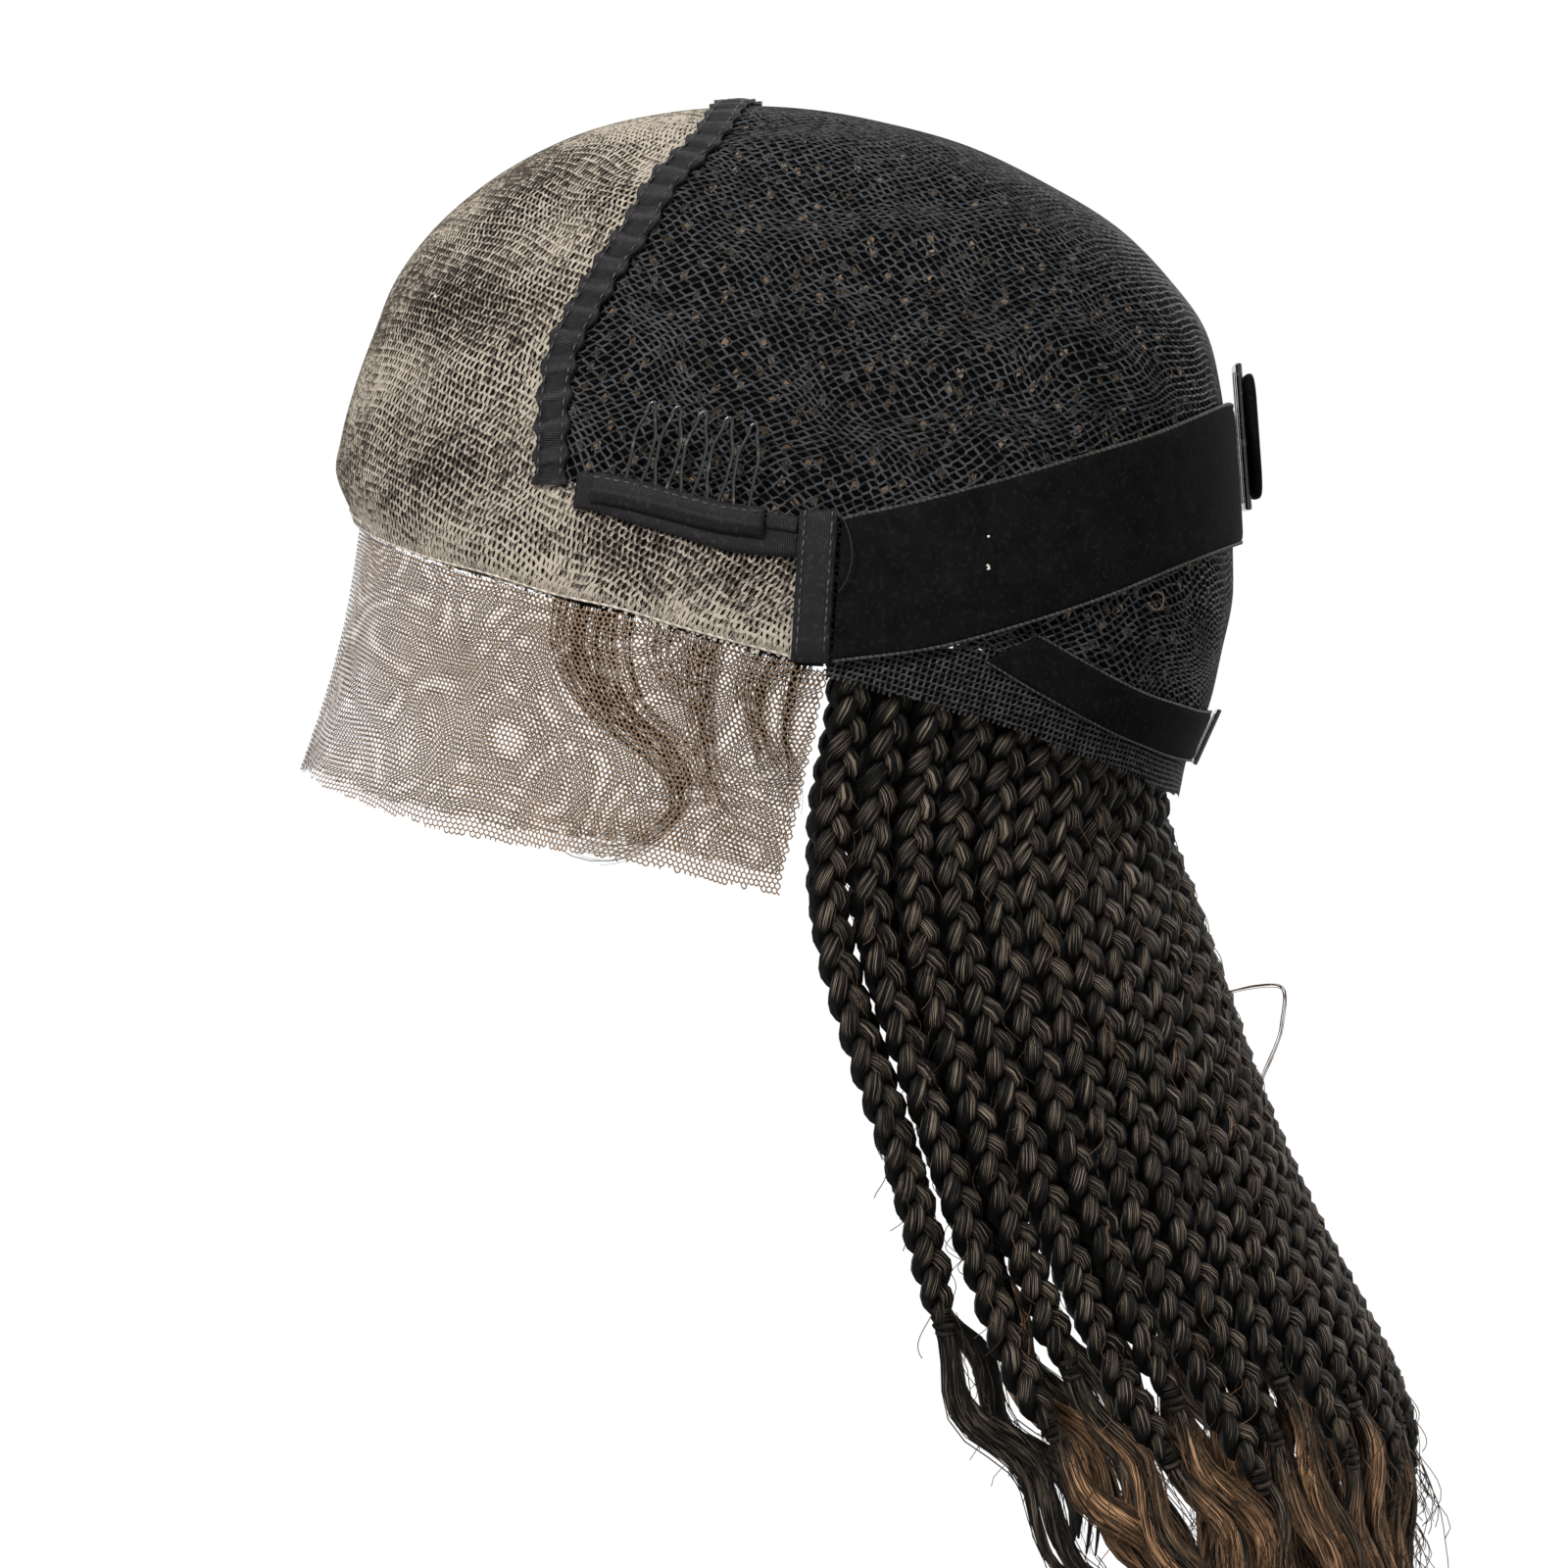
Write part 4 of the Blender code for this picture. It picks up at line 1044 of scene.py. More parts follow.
@dataclass(frozen=True)
class NetPattern:
    """A net of six-sided holes on a flat pattern: zigzag threads, each tied to the next row in turn.

    The knots stand in staggered rows. Pitch is the distance between holes in a row, drop that between rows,
    both turned by the slant in degrees, and neck the length of the ties. Each knot strays by the jitter and,
    together with those near it, by the warp.
    """

    pitch: float
    drop: float
    slant: float
    neck: float
    jitter: float
    seed: int
    warp: float
    warp_scale: float

    def edges(self, low: Array, high: Array) -> tuple[Array, Array]:
        """Thread ends over a rectangle.

        Args:
            low: Its lowest corner.
            high: Its highest corner.

        Returns:
            Starts and ends of the threads, as rows of two coordinates.
        """
        centre = (low + high) / 2
        reach = float(np.linalg.norm(high - low)) / 2
        rows = int(reach / self.drop) + 2
        columns = int(reach / self.pitch) + 2
        row, column = np.mgrid[-rows : rows + 1, -columns : columns + 1]
        stagger = (row % 2) * 0.5
        upper = np.stack([(column + stagger) * self.pitch, row * self.drop + self.neck / 2], axis=-1)
        lower = np.stack([(column + stagger) * self.pitch, row * self.drop - self.neck / 2], axis=-1)
        knots = np.stack([lower, upper])
        rng = np.random.default_rng(self.seed)
        knots += rng.normal(scale=self.jitter, size=knots.shape)
        turn = math.radians(self.slant)
        spin = np.array(((math.cos(turn), math.sin(turn)), (-math.sin(turn), math.cos(turn))))
        knots = knots @ spin + centre
        waves = [ripple(knots, self.seed + k, self.warp_scale) for k in (1, 2)]
        knots = knots + self.warp * np.stack(waves, axis=-1)
        lower, upper = knots
        starts = [lower.reshape(-1, 2)]
        ends = [upper.reshape(-1, 2)]
        # From an upper knot to the two lower knots of the next row, which stand half a pitch to each side
        for shift in (0, 1):
            here = upper[:-1, 1:-1]
            column_even = lower[1:, shift : columns * 2 + shift - 1]
            column_odd = lower[1:, 1 + shift : columns * 2 + shift]
            parity = (row[:-1, 1:-1] % 2 == 0)[..., None]
            starts.append(here.reshape(-1, 2))
            ends.append(np.where(parity, column_even, column_odd).reshape(-1, 2))
        return np.concatenate(starts), np.concatenate(ends)


@dataclass(frozen=True)
class LaidNet:
    """A net laid on both halves of the cap inside an outline of the side view.

    The corners low and high bound the flat pattern, and threads that the covers hide are left out.
    """

    pattern: NetPattern
    outline: Array
    width: float
    ridge: float
    lift: float
    low: tuple[float, float]
    high: tuple[float, float]
    seams: tuple[Array, ...] = ()
    covers: tuple[Array, ...] = ()
    closing: float = 0.75
    seam_fade: float = 12.0 * MM
    patch_size: float = 34.0 * MM

    def build(self, name: str, finish: Finish) -> list[bpy.types.Object]:
        """Cuts the pattern to the outline, lays it on the cap and mirrors it.

        A net with seams has wider and paler threads toward them, by exp(-distance / fade), and in patches.

        Args:
            name: Piece name before its side.
            finish: The thread's finish.

        Returns:
            One piece a side.
        """
        starts, ends = self.pattern.edges(np.array(self.low), np.array(self.high))
        on_start, over_start = CAP.laid(starts)
        on_end, over_end = CAP.laid(ends)
        keep = inside(self.outline, on_start[:, 1], on_start[:, 2]) | inside(self.outline, on_end[:, 1], on_end[:, 2])
        keep &= ~(over_start & over_end)
        for cover in self.covers:
            both = inside(cover, on_start[:, 1], on_start[:, 2]) & inside(cover, on_end[:, 1], on_end[:, 2])
            keep &= ~both
        on_start, on_end = on_start[keep], on_end[keep]
        rng = np.random.default_rng(self.pattern.seed + 9)
        tone = rng.uniform(-0.5, 0.6, len(on_start))
        width = self.width * rng.uniform(0.82, 1.22, len(on_start))
        near = nearness(on_start, self.seams, self.seam_fade) if self.seams else 0.0
        on_start, on_end = CAP.above(on_start, self.lift), CAP.above(on_end, self.lift)
        outward = CAP.outward((on_start + on_end) / 2)
        made = []
        for side in Side:
            mould = Mould()
            turned = [line * side.turn for line in (on_start, on_end)[:: side.value]]
            wide, pale = width, tone
            if self.seams:
                patch = ripple(on_start * side.turn, self.pattern.seed + 5, self.patch_size)
                wide = width * (1 + self.closing * near + 0.14 * patch)
                pale = tone - 0.24 + 0.98 * near + 0.22 * patch
            mould.threads(*turned, outward * side.turn, wide, self.ridge, pale)
            made.append(finish.dress(mould.make(f"{name}_{side.word}")))
        return made


@dataclass
class CapPanels:
    """The three panels: a dark layer each, and its knit or net over it; under the knit it is a lining, under the nets
    it is painted shade with the dark hair beneath.
    """

    seam_gap: float = 1.1 * MM
    gather_height: float = 0.35 * MM
    gathers: int = 16
    columns: int = 61
    lining_drop: float = 0.45 * MM

    def __post_init__(self) -> None:
        """Works out the panels' edges."""
        count = self.columns
        seam = both_sides(spread(CAP.side_line(LINES.crown_seam + LINES.ear_tape[1:]), count))
        hair = both_sides(spread(CAP.side_line(LINES.hairline), count))
        self.front = CAP.ruled(hair, CAP.trimmed(seam, hair, self.seam_gap), 34)
        join = both_sides(spread(CAP.side_line(LINES.nape_join), count))
        nape = both_sides(spread(CAP.side_line(LINES.nape_edge), count))
        crown = both_sides(spread(CAP.side_line(LINES.crown_seam[:-1] + LINES.crown_corner), count))
        first = CAP.trimmed(crown, join, self.seam_gap)
        last = CAP.trimmed(join, crown, self.seam_gap)
        over_tape = CAP.side_line(LINES.ear_tape[:-1] + LINES.under_tab, False) + (0.0, 0.0, self.seam_gap)
        end = spread(np.concatenate([first[:1], over_tape, last[:1]]), 44)
        self.crown = self.ended(CAP.ruled(first, last, 44), end)
        self.nape = CAP.ruled(CAP.trimmed(join, nape, self.seam_gap), nape, 10)

    @staticmethod
    def ended(grid: Array, end: Array, pull: float = 2.5) -> Array:
        """A grid whose outer columns follow an end line on the left and its mirror on the right.

        Each column moves by the end column's own distance, times its share from the middle to a power.

        Args:
            grid: The grid.
            end: The line for its first column.
            pull: The power.

        Returns:
            The moved grid.
        """
        columns = grid.shape[1]
        half = columns // 2
        share = (np.abs(np.arange(columns) - half) / half)[None, :, None] ** pull
        left = (end - grid[:, 0])[:, None, :]
        on_left = (np.arange(columns) < half)[None, :, None]
        return CAP.seat(grid + np.where(on_left, left, left * (-1, 1, 1)) * share)

    def gathered(self, grid: Array) -> Array:
        """Ribs where the seam gathers the front: cosine waves round the seam, fading to the hairline.

        Args:
            grid: The front panel's grid, hairline first.

        Returns:
            Their height at each point, 0 or below.
        """
        rows, columns = grid.shape[:2]
        around = np.linspace(-1.0, 1.0, columns)
        near = np.linspace(0.0, 1.0, rows)[:, None] ** 2
        return self.gather_height * near * (np.cos(around * self.gathers * math.pi) - 1)[None, :]

    def lining(self, name: str, grid: Array, lift: Any, finish: Finish) -> bpy.types.Object:
        """The dark layer under a knit or net, the panel's own thickness less the knit's; under the nets it is painted
        shade.

        Args:
            name: Piece name.
            grid: Its place on the outer face.
            lift: Lift of its outer face.
            finish: Its finish.

        Returns:
            The piece.
        """
        mould = Mould()
        middle = grid[grid.shape[0] // 2, grid.shape[1] // 2]
        outward = CAP.outward(middle[None])[0]
        mould.sheet(CAP.above(grid, lift), CAP.above(grid, -CAP.wall), outward)
        return finish.dress(mould.make(name))

    def build(self, finishes: Finishes) -> None:
        """Makes and places every panel.

        Args:
            finishes: The wig's finishes.
        """
        gathers = self.gathered(self.front)
        for node, grid, lift, finish in (
            ("front_lace_panel", self.front, gathers - self.lining_drop, finishes.lining),
            # Under the nets the dark sheet is painted shade, with the dark hair beneath.
            ("crown_net", self.crown, -self.lining_drop, finishes.under),
            ("nape_panel", self.nape, -self.lining_drop, finishes.under),
        ):
            place(self.lining(f"{node.replace('_lace', '')}_lining", grid, lift, finish), node)
        front_outline = LINES.corners(
            LINES.hairline[::-1], ((-0.9, 0.35), (-0.9, 1.9), (-0.077, 1.9)), LINES.crown_seam, LINES.ear_tape[1:]
        )
        nape_outline = LINES.corners(LINES.nape_join, LINES.nape_edge[::-1], ((0.9, -0.146), (0.9, -0.048)))
        knit = NetPattern(
            pitch=1.20 * MM, drop=2.05 * MM, slant=-30.0, neck=1.35 * MM, jitter=0.09 * MM, seed=11,
            warp=0.9 * MM, warp_scale=24 * MM,
        )
        coarse = NetPattern(
            pitch=2.7 * MM, drop=1.24 * MM, slant=-15.0, neck=0.40 * MM, jitter=0.13 * MM, seed=21,
            warp=1.1 * MM, warp_scale=24 * MM,
        )
        fine = NetPattern(
            pitch=1.9 * MM, drop=0.95 * MM, slant=30.0, neck=0.3 * MM, jitter=0.05 * MM, seed=31,
            warp=0.2 * MM, warp_scale=24 * MM,
        )
        seams = tuple(spread(CAP.side_line(table), 40) for table in (LINES.hairline, LINES.crown_seam))
        covers = (
            LINES.corners(LINES.band_top, LINES.band_bottom[::-1]),
            LINES.corners(LINES.strap_top, LINES.strap_bottom[::-1]),
        )
        front = LaidNet(
            knit, front_outline, width=0.48 * MM, ridge=0.20 * MM, lift=-0.25 * MM,
            low=(-0.150, -0.01), high=(0.03, 0.185), seams=seams,
        )
        crown = LaidNet(
            coarse, LINES.crown, width=0.56 * MM, ridge=0.30 * MM, lift=-0.2 * MM,
            low=(-0.09, -0.03), high=(0.17, 0.185), covers=covers,
        )
        nape = LaidNet(
            fine, nape_outline, width=0.50 * MM, ridge=0.2 * MM, lift=-0.2 * MM,
            low=(0.0, -0.06), high=(0.14, 0.03), covers=covers,
        )
        pieces = front.build("front_knit", finishes.knit)
        pieces += crown.build("crown_mesh", finishes.net)
        pieces += nape.build("nape_mesh", finishes.net)
        for piece in pieces:
            place(piece)


@dataclass
class Trims:
    """The gathered ribbon over the crown seam, and each side's tapes and tab, with their stitches."""

    gap: float = 0.3 * MM
    ribbon_width: float = 7.2 * MM
    ribbon_thick: float = 0.9 * MM
    ruffle: float = 0.14
    gathers: int = 40
    tape_thick: float = 0.7 * MM
    ear_width: float = 8.2 * MM
    comb_width: float = 6.6 * MM
    comb_wire: float = 0.9 * MM
    tab_thick: float = 0.9 * MM

    @property
    def tape_lift(self) -> float:
        """Outer face of the ear tape above the cap."""
        return 1.5 * self.gap + self.tape_thick

    @property
    def cover_lift(self) -> float:
        """Outer face of the comb tape above the cap."""
        return self.tape_lift + 2 * self.gap + self.comb_wire + self.tape_thick

    @property
    def tab_lift(self) -> float:
        """Outer face of the tab above the cap."""
        return self.tape_lift + self.gap + self.tab_thick

    def layer(self, name: str, grid: Array, lift: Any, thick: float, side: Side, finish: Finish) -> bpy.types.Object:
        """A cloth strip with rounded edges on the cap.

        Toward the edges both faces draw together, by the 14th power of the share of the way out.

        Args:
            name: Piece name.
            grid: Its place.
            lift: Lift of its outer face.
            thick: Its thickness.
            side: Which half it lies on.
            finish: Its finish.

        Returns:
            The piece.
        """
        rows, columns = grid.shape[:2]
        down = np.abs(np.linspace(-1.0, 1.0, rows))[:, None]
        over = np.abs(np.linspace(-1.0, 1.0, columns))[None, :]
        edge = np.maximum(down, over * 0.999) ** 14
        outer = CAP.above(grid, lift - edge * thick * 0.4) * side.turn
        inner = CAP.above(grid, lift - thick + edge * thick * 0.3) * side.turn
        middle = grid[rows // 2, columns // 2]
        mould = Mould()
        mould.sheet(outer, inner, CAP.outward(middle[None])[0] * side.turn)
        return finish.dress(mould.make(name))

    def stitches(
        self,
        name: str,
        line: Array,
        lift: float,
        step: float,
        length: float,
        radius: float,
        side: Side,
        finish: Finish,
        seed: int,
    ) -> bpy.types.Object:
        """A row of stitches: short low arches, each dipping into the cloth at both ends.

        Args:
            name: Piece name.
            line: The seam's line on the cap.
            lift: Height of the cloth there.
            step: Distance from one stitch to the next.
            length: A stitch's own length.
            radius: Half thickness of the thread.
            side: Which half it lies on.
            finish: Its finish.
            seed: Fixes the small irregularities.

        Returns:
            The piece.
        """
        total = runs_along(line)[-1]
        count = max(2, int(total / step))
        dense = spread(line, 600)
        runs = runs_along(dense)
        rng = np.random.default_rng(seed)
        middles = (np.arange(count) + 0.5) * step + rng.normal(scale=step * 0.06, size=count)
        shares = np.linspace(-0.5, 0.5, 5)
        wanted = np.clip(middles[:, None] + shares * length, 0.0, runs[-1])
        points = read_along(dense, runs, wanted)
        arch = lift + radius * (0.8 - 5.0 * shares**2) * np.ones((count, 1))
        points = CAP.above(points, arch)
        outward = CAP.outward(points) * side.turn
        mould = Mould()
        mould.tubes(points * side.turn, radius, radius * 0.8, 5, outward, rng.uniform(0.0, 0.6, count))
        return finish.dress(mould.make(name))

    def build_ribbon(self, finishes: Finishes) -> None:
        """The ribbon's gathers: each a soft wave across it, with its edges drawn in and out.

        Args:
            finishes: The wig's finishes.
        """
        seam = both_sides(spread(CAP.side_line(LINES.crown_seam), 203))
        around = np.linspace(-1.0, 1.0, len(seam))
        ruffle = 1 + self.ruffle * np.cos(around * self.gathers * math.pi)
        grid = CAP.strip(seam, self.ribbon_width / 2 * ruffle, 13)
        across = np.linspace(-1.0, 1.0, 13)[:, None]
        phase = around * self.gathers * math.pi + 0.5 * np.sin(around * 19.0)
        folds = np.cos(phase + across * 0.7) * 0.5 + 0.25 * np.cos(phase * 2.3 + across * 2.0 + 1.0)
        groove = -0.35 * np.exp(-(((np.abs(across) - 0.72) / 0.10) ** 2))
        lift = 2 * self.gap + self.ribbon_thick + (folds * 0.75 + groove) * MM * (1 - 0.3 * np.abs(across))
        mould = Mould()
        # Painted light: the tone brightens the fold crests as painted highlight, and darkens the folds and the
        # grooves by the stitches as painted shade.
        tone = folds * 0.9 + groove - 0.1
        mould.sheet(CAP.above(grid, lift), CAP.above(grid, 1.2 * self.gap), np.array((0.0, 0.0, 1.0)), tone)
        place(finishes.satin.dress(mould.make("gathered_ribbon")), "crown_seam_ribbon")
        edge = CAP.strip(spread(CAP.side_line(LINES.crown_seam), 60), self.ribbon_width / 2, 3)
        lift = 2 * self.gap + self.ribbon_thick - 0.1 * MM
        for share, seed in ((-0.72, 3), (0.72, 4)):
            line = edge[1] + (edge[2] - edge[1]) * share
            for side in Side:
                name = f"ribbon_stitches_{seed}_{side.word}"
                row = self.stitches(name, line, lift, 2.6 * MM, 1.7 * MM, 0.22 * MM, side, finishes.stitch, seed)
                place(row)

    def build(self, finishes: Finishes) -> None:
        """Makes and places the ribbon and each side's trims.

        Args:
            finishes: The wig's finishes.
        """
        self.build_ribbon(finishes)
        tape = CAP.strip(spread(CAP.side_line(LINES.ear_tape, False), 60), self.ear_width / 2, 9)
        cover = CAP.strip(spread(CAP.side_line(LINES.comb_tape, False), 50), self.comb_width / 2, 11)
        ends = [spread(CAP.side_line(table, False), 15) for table in (LINES.tab_top, LINES.tab_bottom)]
        tab = CAP.ruled(*ends, 50)
        across = np.linspace(-1.0, 1.0, 11)[:, None]
        roll = np.exp(-(((across + 0.35) / 0.42) ** 2))
        bulge = self.cover_lift - 0.55 * MM + 0.85 * MM * roll - 0.25 * MM * across**2
        for side in Side:
            word = side.word
            for node, grid, lift, thick in (
                ("ear_tape", tape, self.tape_lift, self.tape_thick),
                ("comb_tape", cover, bulge, self.tape_thick * 1.6),
                ("side_tab", tab, self.tab_lift, self.tab_thick),
            ):
                piece = self.layer(f"{node}_cloth_{word}", grid, lift, thick, side, finishes.satin)
                place(piece, f"{node}_{word}")
            rows = (
                (f"tab_stitches_5_{word}", tab[:, 2], self.tab_lift, 2.1 * MM, 0.24 * MM, 5),
                (f"tab_stitches_6_{word}", tab[:, 12], self.tab_lift, 2.1 * MM, 0.24 * MM, 6),
                (f"comb_tape_stitches_{word}", cover[8], self.cover_lift - 0.72 * MM, 2.2 * MM, 0.22 * MM, 7),
            )
            for name, line, lift, step, radius, seed in rows:
                place(self.stitches(name, line, lift, step, 1.5 * MM, radius, side, finishes.stitch, seed))


@dataclass
class Bands:
    """The wide elastic, the narrow one, their sliders and the folded end."""

    thick: float = 1.2 * MM
    rear_lift: float = 2.6 * MM
    strap_thick: float = 0.9 * MM
    strap_gap: float = 0.5 * MM
    end_off: float = 1.0 * MM
    fold_height: float = 29.0 * MM
    fold_width: float = 17.0 * MM
    fold_thick: float = 2.6 * MM
    fold_direction: float = 33.0

    def between(self, top: Table, bottom: Table, columns: int, rows: int) -> Array:
        """An elastic's grid between two lines, kept off the middle plane.

        Args:
            top: Its upper edge in the side view.
            bottom: Its lower edge.
            columns: Points along.
            rows: Points across.

        Returns:
            The grid.
        """
        grid = CAP.ruled(*(spread(CAP.side_line(table), columns) for table in (top, bottom)), rows)
        grid[..., 0] = np.maximum(grid[..., 0], self.end_off)
        return grid

    def edge_cord(
        self, name: str, line: Array, lift: Any, radius: float, side: Side, finish: Finish
    ) -> bpy.types.Object:
        """The corded edge of an elastic: a thin tube whose width swells with every ply.

        Args:
            name: Piece name.
            line: The edge.
            lift: Height of the tube's middle.
            radius: Its mean radius.
            side: Which half it lies on.
            finish: Its finish.

        Returns:
            The piece.
        """
        swell = radius * (1 + 0.22 * np.sin(np.arange(len(line)) * math.pi / 1.5))
        mould = Mould()
        mould.tubes((CAP.above(line, lift) * side.turn)[None], swell, swell, 5, CAP.outward(line) * side.turn)
        return finish.dress(mould.make(name))

    def build(self, finishes: Finishes, trims: Trims) -> None:
        """Makes and places both elastics, and gives the metal parts their finish.

        Args:
            finishes: The wig's finishes.
            trims: The tabs that the elastics start from.
        """
        wide = self.between(LINES.band_top, LINES.band_bottom, 90, 25)
        narrow = self.between(LINES.strap_top, LINES.strap_bottom, 60, 11)
        rearward = np.linspace(1.0, 0.0, 90) ** 2
        high = trims.tab_lift + (self.rear_lift - trims.tab_lift) * rearward
        low = self.strap_gap + self.strap_thick
        cord_high = np.interp(np.linspace(0, 1, 420), np.linspace(0, 1, 90), high) - 0.55 * MM
        cords = (("wide", wide, 420, cord_high, 0.42 * MM), ("narrow", narrow, 220, low - 0.4 * MM, 0.3 * MM))
        for side in Side:
            word = side.word
            piece = trims.layer(f"wide_elastic_{word}", wide, high, self.thick, side, finishes.elastic)
            place(piece, f"wide_band_{word}")
            piece = trims.layer(f"narrow_elastic_{word}", narrow, low, self.strap_thick, side, finishes.elastic)
            place(piece, f"nape_strap_{word}")
            for edge, row in (("upper", 0), ("lower", -1)):
                for kind, grid, count, lift, radius in cords:
                    line = spread(grid[row], count)
                    place(self.edge_cord(f"{kind}_{edge}_cord_{word}", line, lift, radius, side, finishes.cord))
        self.build_fold(finishes)
        for name in ("band_slider", "nape_strap_slider"):
            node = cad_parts[name]
            node.data.materials.clear()
            node.data.materials.append(finishes.metal.made)

    def build_fold(self, finishes: Finishes) -> None:
        """The elastic's folded end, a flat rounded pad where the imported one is.

        Its point at tilt a and turn b is cos(a)^p*cos(b)^q across, cos(a)^p*sin(b)^q up and sin(a)^r outward,
        each power keeping its sign.

        Args:
            finishes: The wig's finishes.
        """
        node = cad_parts["band_folded_end"]
        centre = np.array([v.co for v in node.data.vertices]).mean(axis=0)
        direction = math.radians(self.fold_direction)
        seat = CAP.centre + CAP.rise * np.array((0.0, math.cos(direction), math.sin(direction)))
        normal = CAP.outward(CAP.seat(seat[None]))[0]
        across = np.array((1.0, 0.0, 0.0))
        up = np.cross(normal, across)
        turn = np.linspace(0.0, math.tau, 65)[:-1]
        tilt = np.linspace(-math.pi / 2, math.pi / 2, 25)
        level = powered(np.cos(tilt), 0.35)[:, None]
        x = level * powered(np.cos(turn), 0.30)
        y = level * powered(np.sin(turn), 0.30)
        z = powered(np.sin(tilt), 0.6)[:, None] * np.ones(64)
        grid = centre + x[..., None] * across * self.fold_width / 2
        grid = grid + y[..., None] * up * self.fold_height / 2 + z[..., None] * normal * self.fold_thick / 2
        along = np.linspace(0.0, 2 * (self.fold_width + self.fold_height), 65)
        maps = np.stack(np.broadcast_arrays(along[None, :], np.linspace(0, 0.03, 25)[:, None]), axis=-1)
        mould = Mould()
        mould.add(grid[None], maps[None], 0.0, wrap=True)
        place(finishes.elastic.dress(mould.make("folded_elastic_end")), "band_folded_end")


@dataclass
class Combs:
    """Each side's wire comb of hairpin teeth."""

    wire: float = 0.9 * MM
    teeth: int = 5
    pitch: float = 5.8 * MM
    reach: float = 21.5 * MM
    lean: float = 9.0
    spread: float = 2.15 * MM
    tip_lift: float = 4.6 * MM
    # Columns: half the gap between a tooth's legs, height, each as a share
    leg: Table = ((1.0, 0.0), (1.0, 0.35), (0.95, 0.68), (0.62, 0.79), (0.42, 0.87), (0.38, 0.95), (0.0, 1.0))

    def build(self, finishes: Finishes, trims: Trims) -> None:
        """One round wire a side, from its feet under the tape up each leg and over its tip.

        Args:
            finishes: The wig's finishes.
            trims: The tape that holds it.
        """
        feet = spread(CAP.side_line(LINES.comb_feet, False), 2)
        run = unit(feet[1] - feet[0])
        lean = math.radians(self.lean)
        upward = np.array((0.0, math.sin(lean), math.cos(lean)))
        start = trims.gap + trims.tape_thick + trims.gap + self.wire / 2
        pin = [(-a, u) for a, u in self.leg] + list(self.leg[-2::-1])
        line = []
        for tooth in range(self.teeth):
            middle = feet.mean(axis=0) + run * self.pitch * (tooth - (self.teeth - 1) / 2)
            for across, up in pin:
                point = middle + run * self.spread * across + upward * self.reach * up
                lift = start + (self.tip_lift - start) * max(up, 0.0) ** 0.8
                line.append(CAP.seat(point[None], np.array([lift]))[0])
        path = spread(np.array(line), 560)
        for side in Side:
            mould = Mould()
            out = CAP.outward(path) * side.turn
            mould.tubes((path * side.turn)[None], self.wire * 0.46, self.wire * 0.46, 8, out)
            place(finishes.metal.dress(mould.make("comb_wire_" + side.word)), "comb_" + side.word)


